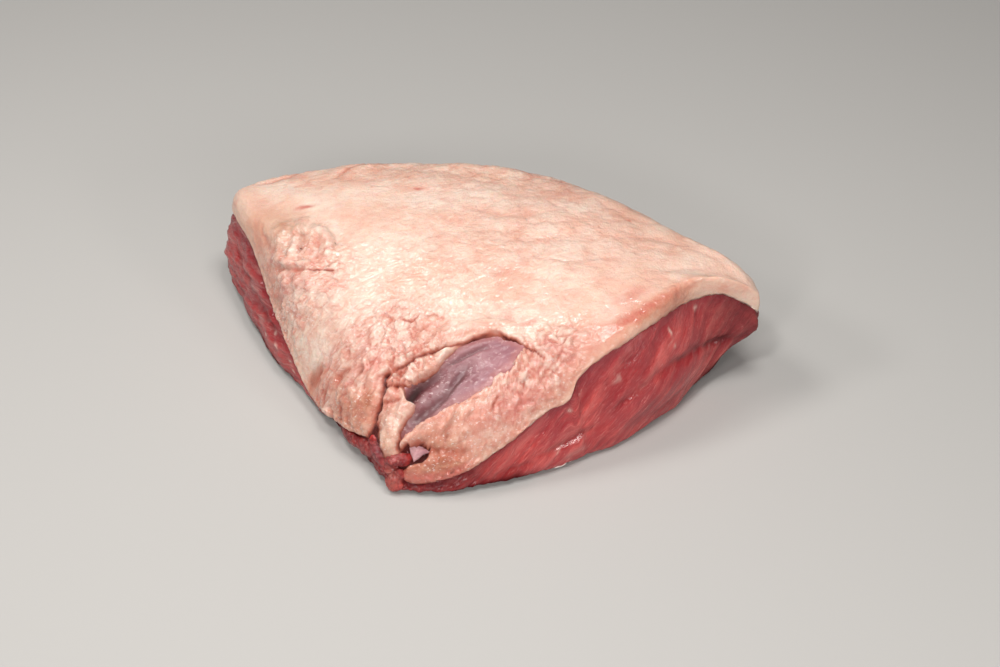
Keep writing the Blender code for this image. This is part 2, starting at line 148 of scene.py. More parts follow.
# Creases in the fat: half width, depth, how red they are painted (partly their own red, partly painted
# shade), and the path that each one follows
CREASES = {
    "upper": (0.9, 1.8, 0.8, [(-0.9, -33), (-9.4, -34.5), (-15, -36.2), (-24.8, -37.9), (-35.6, -39.4),
        (-40.2, -40.6), (-44.9, -43), (-50.6, -43.6), (-53.8, -45.3)]),
    "descent": (1.3, 3, 1, [(-50.6, -43.6), (-53.8, -45.3), (-54.8, -48.2), (-54.3, -51), (-55.2, -54.6),
        (-57.1, -57.2), (-58.5, -62)]),
    "strip_1": (0.9, 1.6, 0.8, [(-54.3, -51), (-50.5, -50.6), (-46, -51.5), (-41.5, -53.5)]),
    "strip_2": (0.9, 1.2, 0.6, [(-54.8, -56.6), (-50.6, -57.4), (-46.2, -56.8)]),
    "strip_3": (0.8, 1, 0.5, [(-46.5, -43.5), (-47.3, -46), (-45.5, -48.8)]),
    "front_stripe": (0.8, 0.8, 0.35, [(-25.6, -74.2), (-24.4, -71), (-21.4, -68)]),
    "upper_right": (0.6, 1.3, 0.9, [(-0.5, -33), (2.3, -35.1), (5.6, -37.4), (10.3, -40.1), (14, -42.3),
        (21.4, -46.2)]),
    "bottom": (0.8, 1.6, 0.5, [(-40.9, -72.1), (-38.1, -72.5), (-33.4, -75), (-24.2, -76.3), (-18.6, -75.9),
        (-13, -74.8)]),
    "knob": (0.9, 2.2, 0.9, [(-46.1, -69.9), (-46.6, -71.7), (-44.7, -73.5), (-41.8, -73.2)]),
    "front_1": (0.6, 0.7, 0.7, [(-3.7, -63.7), (-1.9, -61.1), (0, -59.1)]),
    "left_slit": (0.7, 1.2, 0.4, [(-111.3, 30.8), (-105.8, 24.2), (-100, 20.2), (-94.3, 17.4)]),
    "left_slit_end": (0.45, 1.2, 0.8, [(-94.3, 17.4), (-89, 15.6), (-84.2, 14), (-80.8, 12.6),
        (-81.5, 10.4)]),
    "ring": (1, 1.2, 0.3, [(-95.8, 40.5), (-96, 33), (-98.4, 26.4)]),
    "ring_inner": (1, 1.4, 0.35, [(-89, 36), (-88.6, 28.5), (-90, 22.5)]),
    "ring_right": (1.2, 0.3, 0.1, [(-79.6, 24.5), (-79.8, 31), (-83, 39.5)]),
    "swelling_left": (1.3, 1, 0.35, [(-118.4, 54.9), (-117, 47.8), (-113.5, 40.3), (-109.1, 34.2)]),
    "roll": (2, 0.6, 0.25, [(-122.1, 62.7), (-120.5, 51.9), (-118.1, 42.2), (-114.6, 32.8), (-110.1, 22.2),
        (-105.6, 13.2)]),
    "small_1": (0.5, 0.8, 0.7, [(-47.3, -19.7), (-44.4, -21.7), (-41.6, -22.2), (-39.7, -21),
        (-37.8, -19.7)]),
    "small_2": (0.6, 0.5, 0.4, [(-35.9, -21.5), (-31.2, -20.7), (-26.4, -23.4)]),
    "left_groove": (0.8, 1.5, 0.8, [(-74.5, -41.8), (-73.6, -44.3), (-73.1, -46.9)]),
    "left_dent": (1.8, 1.5, 0.55, [(-93.2, -19.1), (-88.8, -21.8), (-84.4, -24.6)]),
    "left_dent_low": (0.8, 0.9, 0.7, [(-83, -31.2), (-82.5, -33.6)]),
    "left_low": (0.8, 0.8, 0.5, [(-78.5, -33.2), (-73.5, -34.2), (-68, -36.4), (-63, -40.9)]),
    "behind_1": (1.2, 1.2, 0.35, [(70, 58), (52, 70), (36, 76), (20, 78)]),
    "behind_2": (1.1, 1.4, 0.4, [(8, 88), (-12, 94), (-30, 94)]),
    "behind_3": (1.2, 1.3, 0.4, [(-44, 98), (-62, 97), (-76, 91), (-84, 82)]),
    "behind_4": (1.2, 1.3, 0.35, [(-100, 97), (-108, 90), (-122, 88)]),
    "behind_5": (1.1, 1.1, 0.3, [(88, 42), (99, 30), (112, 22)]),
    "wrinkle_1": (1.8, 0.35, 0.12, [(56, 33.8), (68, 28.4), (80.1, 26.8), (94.7, 25.7)]),
    "wrinkle_2": (1.8, 0.3, 0.1, [(-10.1, 22.5), (9.6, 20.3), (28.9, 21.4), (53.7, 24.3)]),
    "wrinkle_3": (1.8, 0.3, 0.08, [(28.6, 5.4), (47.9, 8.9), (67.1, 8.2)]),
    "wrinkle_4": (1.8, 0.3, 0.12, [(-19.6, 48.4), (0, 39.4), (19.5, 40.7)]),
    "wrinkle_5": (1.8, 0.3, 0.1, [(97, 22.2), (106.5, 17.4), (114.5, 6.7)]),
    "wrinkle_6": (1.8, 0.3, 0.12, [(44.1, 42.5), (59, 46.6), (73.5, 41)]),
}

# Stained places on the fat: x, y, half length, half width, heading, strength; some are painted shade, along
# the front right edge, under the window's upper lip and on the bottom lobe
STAINS = [
    (-96.5, 60.1, 5, 1.1, 6, 0.9),
    (-41.3, 65.4, 3, 1.2, 0, 0.85),
    (-28.1, 54.2, 4, 1.4, -40, 0.35),
    (-29.5, 24.9, 3, 1.5, 20, 0.3),
    (30.7, 61.1, 6, 3, 30, 0.4),
    (62.7, 41.7, 1.3, 0.8, 0, 1),
    (61.9, -14.7, 8, 4, 30, 0.4),
    (50, -34, 24, 8, 40, 0.42),
    (0.5, -0.2, 7, 2.5, 20, 0.3),
    (8.2, 14.1, 4, 2, 10, 0.3),
    (-105.5, 17.9, 3, 1.6, -50, 0.7),
    (-97, 12.1, 3, 2, 20, 0.55),
    (-92, 27, 2.2, 1.4, 60, 0.5),
    (-112, 34, 3, 1.6, -40, 0.6),
    (-120, 70, 9, 5, -50, 0.25),
    (-66.1, -31.2, 5, 2.4, 40, 0.45),
    (-69.9, -40.7, 4, 2.2, 60, 0.5),
    (-80.3, -24.2, 4, 2.2, 40, 0.4),
    (-58, -38, 7, 2.4, 30, 0.45),
    (-6, -66, 11, 4, 30, 0.4),
    (8, -62, 10, 5, 30, 0.4),
    (-28, -72, 4, 3, 30, 0.2),
    (24, -50, 22, 10, 35, 0.12),
    (13.4, -29.4, 5, 1.6, 30, 0.45),
    (25, -41.5, 7, 2.2, -30, 0.55),
    (16.9, -48.6, 1.6, 3, 0, 0.5),
    (10.5, -62.3, 7, 2.4, 25, 0.45),
    (3.6, -26.6, 5, 1.4, -10, 0.35),
    (70, -21, 26, 2.6, 38, 0.6),
    (-12, -32, 22, 3, 8, 0.35),
    (-34, -79.5, 16, 3.6, 0, 0.15),
    (-100.5, 17, 4, 2.4, -40, 0.6),
    (-58, 96, 9, 3, 4, 0.45),
    (14, 86, 10, 3, -16, 0.4),
    (78, 54, 8, 3, -40, 0.4),
]
# Places where the fat is painted more tan than cream, in the same way: partly its own tan, partly painted
# shade on the bottom lobe, along the front right edge, under the window's upper lip and on the rolled left
# corner
TANNED = [
    (-32, -79.5, 18, 6, 0, 1.3),
    (-44, -77, 4, 3, 0, 0.5),
    (-50.5, -66.5, 4.5, 6.5, 20, 0.35),
    (-68, -49, 14, 5, -50, 0.65),
    (-60.5, -51.5, 4.5, 3, -60, 0.7),
    (-88, -22, 5, 2.5, -30, 0.5),
    (-20, -68, 16, 6, 22, 0.25),
    (-12, -31.5, 22, 2.5, 8, 0.35),
    (-106, 45, 13, 9, -60, 0.6),
    (70, -21.5, 32, 4.6, 38, 0.75),
    (-121, 64, 22, 9, -66, 0.45),
    (-10, 84, 95, 16, -4, 0.26),
    (72, 46, 34, 12, -38, 0.26),
]

# The window, where the fat is open down to the membrane, and the inlet at the tip, where meat shows
WINDOW = [
    (1.9, -36), (7.5, -38.5), (10.6, -40.6), (6.6, -43.4), (5.1, -48.4), (0, -50.2), (-3.4, -52.4),
    (-4.4, -55), (-9, -57.4), (-15.6, -60.2), (-24.6, -63), (-33, -65.8), (-40.6, -68.4), (-45.3, -70.2),
    (-45.6, -68), (-43.4, -65), (-39.8, -61.6), (-39.1, -58.8), (-43, -56.6), (-43.8, -52.6), (-40, -49.3),
    (-34.1, -48.1), (-29.2, -45.4), (-26.2, -43.2), (-23.4, -40.6), (-19.6, -38.4), (-12, -36.1),
    (-4.7, -34.6), (-0.9, -33.9),
]
INLET = [
    (-66, -60), (-56.5, -61.5), (-55.4, -66.2), (-53.2, -70.4), (-49.5, -73.2), (-45.6, -74),
    (-40.4, -72.8), (-37.2, -73.6), (-32, -75.6), (-34.9, -76.9), (-39.1, -77), (-43.8, -76.6),
    (-46.7, -76.4), (-49.5, -80), (-54, -84), (-66, -74),
]
WINDOW_FLOOR = 2.5  # how far below the membrane the fat is sunk
INLET_DEPTH = 4.5
FEATHERED = (20, -50, 26, 13, 30, 0.35)  # region where the border of the window is feathered

# Regions of the fat that look alike: x, y, half length, half width, heading, softness of the border
REGIONS = {
    "granular": (19, -47, 23, 11, 35, 0.5),
    "lobed": (-66, -38, 32, 20, 20, 0.7),
    "streaky": (-45, -8, 95, 50, 25, 0.9),
    "folded": (-97, 20, 17, 27, 30, 0.6),
    "strip": (-42, -50, 22, 9, 48, 0.5),
    "front": (-8, -64, 40, 13, 18, 0.6),
    "behind": (-20, 92, 120, 26, -4, 0.6),
    "bottom": (-32, -79, 22, 7, 0, 0.5),
    "calm": (50, 22, 75, 45, -15, 0.6),
    "smoothed": (60, 20, 75, 50, -20, 0.6),
}
# "lumpy" and the patches come and go inside the lobed, streaky and behind regions
# What each region has of the big, middle and small lumps, the grains and the streaks: millimetres of relief
RELIEF = {
    "lumpy": (2.2, 1.5, 0, 0, 0),
    "lobed": (0, 0, 0.6, 0, 0.6),
    "granular": (0, 0, 0.5, 2.2, 0),
    "folded": (0, 0.9, 0.5, 0, 0.6),
    "strip": (0, 0.7, 0.3, 0, 0.45),
    "front": (0, 0.6, 0.45, 0, 0.6),
    "bottom": (0, 0, 0.2, 0, 0.45),
    "streaky": (0, 0, 0.18, 0, 0.26),
    "streaky_patches": (0, 0.24, 0, 0, 0),
    "behind": (0, 0.2, 0, 0, 0.2),
    "behind_patches": (0.5, 0, 0, 0, 0),
}
# How strongly the clefts between the lumps and the grains are painted there, in a pink red that is partly
# the fat's own colour and partly painted shade
CLEFTS = {
    "lumpy": (1, 0.8, 0, 0),
    "lobed": (0, 0, 0.35, 0),
    "granular": (0, 0, 0.2, 0.9),
    "folded": (0, 0.35, 0.2, 0),
    "strip": (0, 0.4, 0.1, 0),
    "front": (0, 0.5, 0.3, 0),
    "streaky": (0, 0, 0.12, 0),
    "streaky_patches": (0, 0.15, 0, 0),
    "behind": (0, 0.1, 0, 0),
    "behind_patches": (0.3, 0, 0, 0),
}
# How strongly each look of the fat shows in these parts of it
LOOK_PARTS = "granular lobed streaky folded strip front behind bottom side".split()
LOOKS = {
    "rosy": (0.35, 0.5, 0.2, 0.6, 0, 0.75, 0.3, 0.5, 0.3),
    "grainy": (1, 1, 0.6, 1, 0.8, 0.9, 0.5, 0.6, 0),
    "flush": (-0.6, 0.2, 0, 0, 0.45, 0.85, 0, 0.8, 0),
    "wet": (0.9, 1, 0.35, 1, 1, 0.9, 0.35, 1, 0),
}

# How deep the membrane lies under the smooth crown, and how much deeper at some places: x, y, reach, depth
MEMBRANE_DEPTH = 1.1
MEMBRANE_PITS = [
    (-42, -55.6, 3.6, 2.4), (-38.6, -52, 4.2, 2.8), (-33.4, -49.8, 3.8, 1.9), (-28.6, -47.4, 3.6, 1),
    (-38, -64.5, 8, 1.6), (-27, -48, 7, 0.8),
]
# Its folds and rolls: half width, depth or height, and path
MEMBRANE_FOLDS = {
    "upper": (0.9, 1.3, [(-26, -45.4), (-21.9, -43.4), (-17.7, -42.6), (-14.5, -41), (-10.3, -39.5),
        (-5.1, -38.8)]),
    "valley": (2.2, 2, [(-13.8, -46.8), (-21.2, -53), (-25.9, -57.7), (-31.1, -61.2), (-37.1, -64.3),
        (-42.3, -67)]),
}
MEMBRANE_ROLLS = {
    "upper": (2.6, 1, [(-23.3, -41.6), (-17.7, -39.9), (-12.1, -38), (-5.6, -36.2)]),
    "middle": (6, 0.8, [(-27, -50.5), (-18, -46), (-8, -43.5)]),
    "low": (3.2, 1.2, [(-10.2, -51.4), (-15.8, -53.2), (-21.4, -56.4), (-26, -59.7)]),
    "left": (3.2, 1.2, [(-34.4, -53.3), (-37.1, -58.8), (-40.9, -63)]),
}

# Lumps of meat at the tip: x, y, z of the middle, half sizes, heading and tilt in degrees
TIP_LUMPS = {
    "nodule": (-58.2, -61.2, 16, 4, 3.4, 4, 20, 0),
    "below_nodule": (-57.6, -64.6, 13, 5.2, 3.4, 5, -60, 10),
    "band": (-55.2, -68.4, 11, 5.6, 3.4, 4.8, -52, 0),
    "corner": (-52, -72, 9.5, 5.6, 3.6, 4.8, -38, 0),
    "inlet": (-46, -74.6, 16, 6.4, 3.6, 3.4, 20, -4),
    "inlet_left": (-50.6, -73.2, 13.6, 4, 3, 3.2, -30, 0),
    "inlet_bead": (-49.2, -73.6, 16.2, 1.5, 1.3, 1.3, 0, 0),
    "fold_low": (-50.8, -75.2, 9.4, 4.2, 2.6, 2, -20, 8),
    "nub": (-49.2, -78.8, 4.9, 4.8, 3.6, 4.4, -30, 0),
    "nub_upper": (-46.8, -78, 9.4, 2.9, 2.4, 3.2, -20, 0),
    "under_left": (-69.5, -52.6, 9, 9, 2.8, 3.6, -52, 4),
    "under_middle": (-63.5, -59, 9.5, 7, 3, 4.6, -50, 4),
}
# Colours of the meat at the tip: x, y, z, reach, strength
TIP_RED = [
    (-58.6, -60.6, 19, 3.4, 1), (-47.5, -81, 4, 2.2, 1), (-42.5, -74, 17.5, 3.2, 0.6),
]
TIP_PALE = [
    (-49.2, -79.5, 6, 4.6, 0.6), (-49.2, -74.5, 17.2, 1.6, 1), (-51.5, -76.6, 10, 2.6, 0.5),
]
TIP_PURPLE = [
    (-57, -66.5, 13, 5, 1), (-49, -74, 15, 3.6, 0.8), (-53, -71, 9, 4, 0.6),
]
# The leaf's corners, and the shreds in the way of the lumps
TIP_LEAF = [
    (-42.4, -73.4, 22.2), (-36.2, -73.2, 22.6), (-32.6, -75, 21), (-40, -78.6, 18.6),
]
WHITE_SHREDS = [
    (28.6, -63.7, 1.9, 3.2, 0.6, 0.8, 25, 6), (33.4, -60.8, 2.9, 1.3, 0.7, 1, 30, 40),
]

# Folds along the sides of the muscle: half width, depth, and the path that each one follows
FOLDS = {
    "deep": (1.5, 2.2, [(120, 2, 26), (109.5, -2, 27.6), (103, -4, 28), (97, -7, 28.6), (90, -14, 30),
        (84, -22, 31.8), (79, -28, 32.3)]),
    "deep_left": (1.2, 1, [(88, -17, 30.6), (79, -28, 32.3), (70, -37, 31.5), (59, -46, 27.5),
        (50, -51, 23)]),
    "second": (1.3, 1.6, [(47, -52, 18), (37, -57.5, 16.4), (30.6, -61, 15.7), (25, -64, 14),
        (17, -68, 12.5)]),
    "third": (1.6, 0.6, [(66, -33.5, 46.8), (58.7, -39.3, 45.5), (51.6, -45.2, 40.7), (47, -49.3, 35.5)]),
    "heel": (1.6, 0.9, [(97.5, -12, 12), (92, -18, 13), (85, -26, 11.3), (79, -31.7, 9.8),
        (72, -37.6, 8.6)]),
    "front_low": (1.4, 0.8, [(-20, -82, 3), (-5, -77, 6), (5, -74, 9), (20, -67, 10)]),
    "tip_crease": (1, 1.2, [(-44, -81, 6), (-30, -83, 6), (-16, -82, 9), (-8, -79, 11)]),
    "left_upper": (1.4, 1, [(-129.9, 69.6, 39), (-124.6, 55.6, 38.2), (-118.6, 40.1, 34.4),
        (-113.7, 25.8, 29), (-109.8, 16.5, 24)]),
    "left_middle": (1.6, 1.4, [(-135.6, 76, 28.7), (-130.5, 61.3, 25.9), (-124.8, 46, 23.2),
        (-118.8, 31.7, 21.9), (-108, 8.7, 17.2)]),
    "left_low": (1.8, 1.2, [(-141, 72, 14), (-129, 40, 9), (-114, 8, 6)]),
    "behind_1": (1.6, 1.8, [(114, 30, 25), (94, 45, 23), (69, 66, 18), (24, 95, 15), (-12, 102, 13)]),
    "behind_2": (1.5, 1.4, [(-16, 104, 24), (-56, 107, 20), (-96, 105, 18), (-124, 99, 20)]),
    "behind_3": (1.6, 1, [(-40, 107, 9), (-80, 106, 8), (-118, 99, 9)]),
    "right": (1.6, 1.2, [(124, 18, 18), (112, 31, 14), (90, 48, 10)]),
}
# Rolls of muscle beside the folds: half width, height, path
ROLLS = {
    "below_deep": (7, 1.5, [(106, -7, 20), (92, -18, 22), (82, -28, 23), (72, -38, 21), (60, -48, 18)]),
    "above_deep": (8, 0.8, [(104, -3, 38), (90, -12, 40), (76, -27, 42), (64, -38, 39)]),
    "below_second": (5, 0.9, [(42, -57, 10), (30, -64, 9), (18, -69, 8)]),
    "left": (5, 1, [(-134, 62, 33), (-124, 38, 29), (-114, 14, 23)]),
    "behind_1": (5, 1.4, [(110, 32, 17), (84, 54, 15), (50, 80, 11), (10, 98, 8)]),
    "behind_2": (4.5, 1.2, [(-20, 104, 18), (-60, 107, 15), (-100, 105, 14)]),
}
# Pale sinew on the muscle: half width, strength, path
SINEW = [
    (0.6, 0.8, [(79.9, -18.7, 49.1), (80.9, -19.4, 45.3)]),
    (0.6, 0.7, [(83.1, -19.6, 39.9), (81.6, -21.9, 38.8)]),
    (0.7, 0.4, [(54, -43.6, 41.8), (57.4, -43.3, 37.8), (52.6, -45.9, 37.6)]),
    (0.6, 0.8, [(29.2, -62, 14.8), (27.8, -63.2, 13.3), (25.9, -65, 10.4)]),
    (0.5, 0.7, [(43.5, -53.4, 16.5), (42.1, -55.5, 12.6)]),
    (0.6, 0.7, [(47.9, -53.5, 12.1), (46, -54.6, 9.9)]),
    (0.9, 0.8, [(93.4, -4.7, 51.4), (93.6, -5.3, 49.5)]),
    (0.5, 0.8, [(103, -6, 17.5), (102.6, -6.6, 15.4), (100.5, -8.5, 14.5)]),
    (1.6, 0.2, [(41, -57.5, 9), (36, -60.5, 8.5), (30, -64, 8)]),
    (1.2, 0.9, [(32.6, -57.2, 30.6), (32.9, -57, 31.6)]),
    (0.9, 0.9, [(-116.8, 20.5, 11.8), (-116, 20, 13)]),
    (0.8, 0.9, [(-111.6, 15.6, 18.5), (-111.3, 14.6, 16.5)]),
    (1, 0.8, [(-110.9, 11.9, 13.9), (-109, 9, 12.5)]),
    (1.2, 0.9, [(-103.6, -0.2, 13.2), (-103, -1.4, 12)]),
    (1.1, 0.9, [(-102.6, -3.4, 10.1), (-101.6, -5.6, 8.8)]),
    (0.6, 0.5, [(-131, 60, 32), (-124, 44, 29), (-117, 28, 25)]),
]

# ---- Resolution, and the run of the fibres ----
PATCH = 240  # squares across the crown
SHOULDER_RINGS = 22
LIP_RINGS = 8
WALL_RINGS = 60
SEAM_CORE = 16  # how far in from the edge the coarse middle of the seam ends
SEAM_STEPS = ((PATCH // 2, 12), (PATCH, 9))  # squares across and inset of the finer rings after it
SEAM_INSETS = (6, 4, 2.5, 1.2, 0)
MEMBRANE_X, MEMBRANE_Y = (-52, 22, 220), (-76, -26, 150)  # first, last and number of grid lines
MEMBRANE_HEADING = 28
LEAF_SQUARES = 24
LEAF_THICKNESS = 0.7
LUMP_STEPS = 40
VOXEL = 0.00045  # metres
SOFTENING = 8  # rounds of smoothing after the lumps are joined
FRONT_DENSITY = 0.26  # how much finer the grid is towards the front
MIDDLE_DENSITY = 0.2  # and across the middle
FIBRE_RISE = 50  # degrees that the fibres rise along the front
LEFT_HEADING = -68  # along the left side of the muscle


# ---- Curves, noise and distances ----
def smooth(t):
    t = np.clip(t, 0, 1)
    return t * t * (3 - 2 * t)


def hermite(u, start, end, start_slope, end_slope):
    return (
        (2 * u**3 - 3 * u**2 + 1) * start
        + (u**3 - 2 * u**2 + u) * start_slope
        + (3 * u**2 - 2 * u**3) * end
        + (u**3 - u**2) * end_slope
    )


def periodic(knots, values, at):
    """A smooth closed curve through values at knots, read at places from 0 to 1."""
    count = len(knots)
    index = np.searchsorted(knots, at % 1.0, side="right") - 1
    wrapped = np.concatenate([knots[-1:] - 1, knots, knots[:2] + 1])
    rows = np.concatenate([values[-1:], values, values[:2]])
    slopes = (rows[2:] - rows[:-2]) / (wrapped[2:] - wrapped[:-2])
    start = wrapped[index + 1]
    span = wrapped[index + 2] - start
    after = (index + 1) % count
    u = (at % 1.0 - start) / span
    return hermite(u, values[index], values[after], span * slopes[index], span * slopes[after])


def scramble(ix, iy, iz, seed):
    """A whole number in 0..65535 for each lattice corner."""
    mixed = ix * 73856093 ^ iy * 19349663 ^ iz * 83492791 ^ (seed * 2654435761 & 0x7FFFFFFF)
    mixed = (mixed & 0xFFFFFFFF) * 1274126177 & 0xFFFFFFFF
    mixed = (mixed ^ mixed >> 15) * 2246822519 & 0xFFFFFFFF
    return (mixed ^ mixed >> 13) & 0xFFFF


def noise(points, size, seed=0):
    """Gradient noise with features of about this size, from about -1 to 1."""
    p = points / size
    low = np.floor(p).astype(np.int64)
    f = p - low
    w = f * f * f * (f * (f * 6 - 15) + 10)
    total = np.zeros(len(p))
    for corner in np.ndindex(2, 2, 2):
        key = scramble(low[:, 0] + corner[0], low[:, 1] + corner[1], low[:, 2] + corner[2], seed)
        turn = (key & 255) * (2 * pi / 256)
        lift = (key >> 8) / 127.5 - 1
        flat = np.sqrt(np.maximum(1 - lift**2, 0))
        gradient = np.stack([np.cos(turn) * flat, np.sin(turn) * flat, lift], axis=1)
        weight = np.prod([w[:, i] if corner[i] else 1 - w[:, i] for i in range(3)], axis=0)
        total += weight * ((f - corner) * gradient).sum(axis=1)
    return total * 1.6


def rough(points, size, seed=0, octaves=4):
    """Noise with finer and finer features added."""
    total = np.zeros(len(points))
    for octave in range(octaves):
        total += 0.5**octave * noise(points, size / 2.03**octave, seed + octave)
    return total


def wander(points, size, seeds, octaves):
    """Noise in several directions at once, with a seed for each."""
    return np.column_stack([rough(points, size, seed, octaves) for seed in seeds])


def lump_gap(points, size, seed=0):
    """How deep a point lies inside its lump: 0 in the creases between lumps, up to 1 in their middles."""
    p = points / size
    low = np.floor(p).astype(np.int64)
    first = np.full(len(p), 9.0)
    second = np.full(len(p), 9.0)
    for step in np.ndindex(3, 3, 3):
        cell = low + np.array(step) - 1
        jitter = [scramble(cell[:, 0], cell[:, 1], cell[:, 2], seed + i) / 65536 for i in range(3)]
        gap = np.linalg.norm(p - cell - np.stack(jitter, axis=1), axis=1)
        second = np.minimum(second, np.maximum(first, gap))
        first = np.minimum(first, gap)
    return np.clip((second - first) * 1.3, 0, 1)


def dome(gap):
    """Height of flat-topped lumps with sharp creases between them, about 0 on average."""
    return 0.28 - (1 - gap) ** 3


def cleft(gap, width=0.12):
    """1 in the creases between lumps, fading to 0."""
    return np.exp(-gap / width)


def stretch_distance(points, start, end):
    """Distance to a straight stretch, and the share of the way along it of the nearest point."""
    side = end - start
    along = np.clip((points - start) @ side / (side @ side), 0, 1)
    return np.linalg.norm(points - start - along[:, None] * side, axis=1), along


def path_distance(points, path):
    """Distance to a path, and the share of the way along it of the nearest point."""
    path = np.array(path, float)
    lengths = np.linalg.norm(np.diff(path, axis=0), axis=1)
    starts = np.concatenate([[0], np.cumsum(lengths)[:-1]])
    nearest = np.full(len(points), np.inf)
    share = np.zeros(len(points))
    for start, end, length, before in zip(path, path[1:], lengths, starts):
        gap, along = stretch_distance(points, start, end)
        closer = gap < nearest
        nearest = np.where(closer, gap, nearest)
        share = np.where(closer, (before + along * length) / lengths.sum(), share)
    return nearest, share


def forms(points, rows, profile, ends=4.0, blunt=0.25):
    """The highest of several forms that follow paths and fade out towards their ends.

    A row is a half width, a height and a path. The profile gives a form's height from the distance to its
    path, in half widths, and from how much of the form is left at that place.
    """
    height = np.zeros(len(points))
    for wide, tall, path in rows:
        gap, share = path_distance(points, path)
        left = np.clip(np.minimum(share, 1 - share) * ends + blunt, 0, 1)
        height = np.maximum(height, tall * profile(gap / wide, left))
    return height


def bell(power):
    """The profile of a soft ridge or crease."""
    return lambda gap, left: left * np.exp(-(gap**power))


def bulge(gap, left):
    """The profile of a rounded lobe."""
    return np.sqrt(left) * np.maximum(1 - gap**2.2, 0) ** 0.75


def outline_distance(points, outline):
    """Distance to a closed outline, below zero inside it."""
    outline = np.array(outline, float)
    nearest = np.full(len(points), np.inf)
    turns = np.zeros(len(points))
    for start, end in zip(outline, np.roll(outline, -1, axis=0)):
        nearest = np.minimum(nearest, stretch_distance(points, start, end)[0])
        a, b = start - points, end - points
        turns += np.arctan2(a[:, 0] * b[:, 1] - a[:, 1] * b[:, 0], (a * b).sum(axis=1))
    return np.where(abs(turns) > pi, -nearest, nearest)


def oval(place, x, y, long, wide, heading):
    """Plan points as seen from the middle of an oval, in its half length and half width."""
    along = np.array([cos(radians(heading)), sin(radians(heading))])
    offset = place - (x, y)
    return offset @ along / long, (offset[:, 1] * along[0] - offset[:, 0] * along[1]) / wide


def spots(place, table):
    """The sum of soft oval spots at plan points."""
    total = np.zeros(len(place))
    for *shape, height in table:
        u, v = oval(place, *shape)
        total += height * np.exp(-(u**2) - v**2)
    return total


def region(place, x, y, long, wide, heading, edge):
    """1 inside an oval and 0 outside it, with a soft border."""
    u, v = oval(place, x, y, long, wide, heading)
    return 1 - smooth((np.hypot(u, v) - 1 + edge) / (2 * edge))


def balls(points, table):
    """The sum of soft round spots in space, at most 1."""
    total = np.zeros(len(points))
    for x, y, z, reach, strength in table:
        total += strength * np.exp(-((points - (x, y, z)) ** 2).sum(axis=1) / reach**2)
    return np.clip(total, 0, 1)


def turned(points, heading, stretch):
    """Points turned so that a heading in plan lies along x, and drawn out along it by a factor."""
    c, s = cos(radians(heading)), sin(radians(heading))
    along = points[:, 0] * c + points[:, 1] * s
    across = points[:, 1] * c - points[:, 0] * s
    return np.column_stack([along / stretch, across, points[:, 2]])


# ---- The big shape ----
def quadratic_terms(place):
    x, y = place[..., 0], place[..., 1]
    return np.stack([np.ones_like(x), x, y, x * x, x * y, y * y], axis=-1)


def station_columns():
    table = np.array(list(STATIONS.values()), float)
    steps = np.linalg.norm(np.roll(table[:, :2], -1, axis=0) - table[:, :2], axis=1)
    knots = np.concatenate([[0.0], np.cumsum(steps)[:-1]]) / steps.sum()
    columns = dict(zip(COLUMNS, table.T))
    columns["roll"] = np.radians(columns["roll"])
    columns["top"] = columns["low"] + columns["lip"] + columns["drop"]
    return knots, columns


def fit_crown():
    """The terms of the smooth crown, fitted to the tops of the stations and to the height at the hub."""
    columns = station_columns()[1]
    edge = np.stack([columns["x"], columns["y"]], axis=-1)
    rows = np.concatenate([quadratic_terms(edge), quadratic_terms(HUB)[None] * CROWN_WEIGHT])
    heights = np.append(columns["top"], CROWN_HEIGHT * CROWN_WEIGHT)
    return np.linalg.lstsq(rows, heights, rcond=None)[0]


class Rim:
    """The stations, smoothed: every column as an array over places that run from 0 to 1 round the edge."""

    crown = fit_crown()

    def __init__(self, at):
        knots, columns = station_columns()
        for name, column in columns.items():
            setattr(self, name, periodic(knots, column, at))
        self.at = at % 1.0
        self.edge = np.stack([self.x, self.y], axis=-1)
        inward = HUB - self.edge
        self.reach = np.linalg.norm(inward, axis=-1)
        self.inward = inward / self.reach[..., None]
        self.rise = self.top - quadratic_terms(self.edge) @ self.crown


ROUND = np.linspace(0, 1, 4097)
ROUND_RIM = Rim(ROUND[:-1])
ROUND_TURN = np.unwrap(np.arctan2(-ROUND_RIM.inward[:, 1], -ROUND_RIM.inward[:, 0]))


def rim_through(place):
    """The rim on the rays through plan points, and how far in from the edge they lie."""
    offset = place - HUB
    turn = (np.arctan2(offset[:, 1], offset[:, 0]) - ROUND_TURN[0]) % (2 * pi) + ROUND_TURN[0]
    turns = np.append(ROUND_TURN, ROUND_TURN[0] + 2 * pi)
    rim = Rim(np.interp(turn, turns, ROUND))
    return rim, rim.reach - np.linalg.norm(offset, axis=1)


def plan(rim, inset):
    return rim.edge + inset[..., None] * rim.inward


def smooth_height(rim, inset):
    """Height of the cap without its relief."""
    share = 1 - inset / rim.reach
    crown = quadratic_terms(plan(rim, inset)) @ rim.crown + rim.rise * share**EDGE_POWER
    sine = np.clip((1 - inset / rim.run) * np.sin(rim.roll), 0, 1)
    fall = rim.drop * (1 - np.sqrt(1 - sine**2)) / (1 - np.cos(rim.roll))
    return crown - fall


def membrane_depth(place):
    """How far the membrane lies below the smooth crown."""
    depth = np.full(len(place), MEMBRANE_DEPTH)
    for x, y, reach, deeper in MEMBRANE_PITS:
        depth += deeper * np.exp(-(((place - (x, y)) ** 2).sum(axis=1)) / reach**2)
    return depth


def seam_height(rim, inset):
    """Height of the seam between fat and muscle, which runs deeper round the window."""
    whole = rim.lip + (CAP_THICKNESS - rim.lip) * smooth(inset / THICKNESS_RUN)
    place = plan(rim, inset)
    near = 1 - smooth(outline_distance(place, WINDOW) / 12)
    deep = np.maximum(whole, membrane_depth(place) + WINDOW_FLOOR + 1.5)
    return smooth_height(rim, inset) - whole - (deep - whole) * near * smooth(inset / 8)


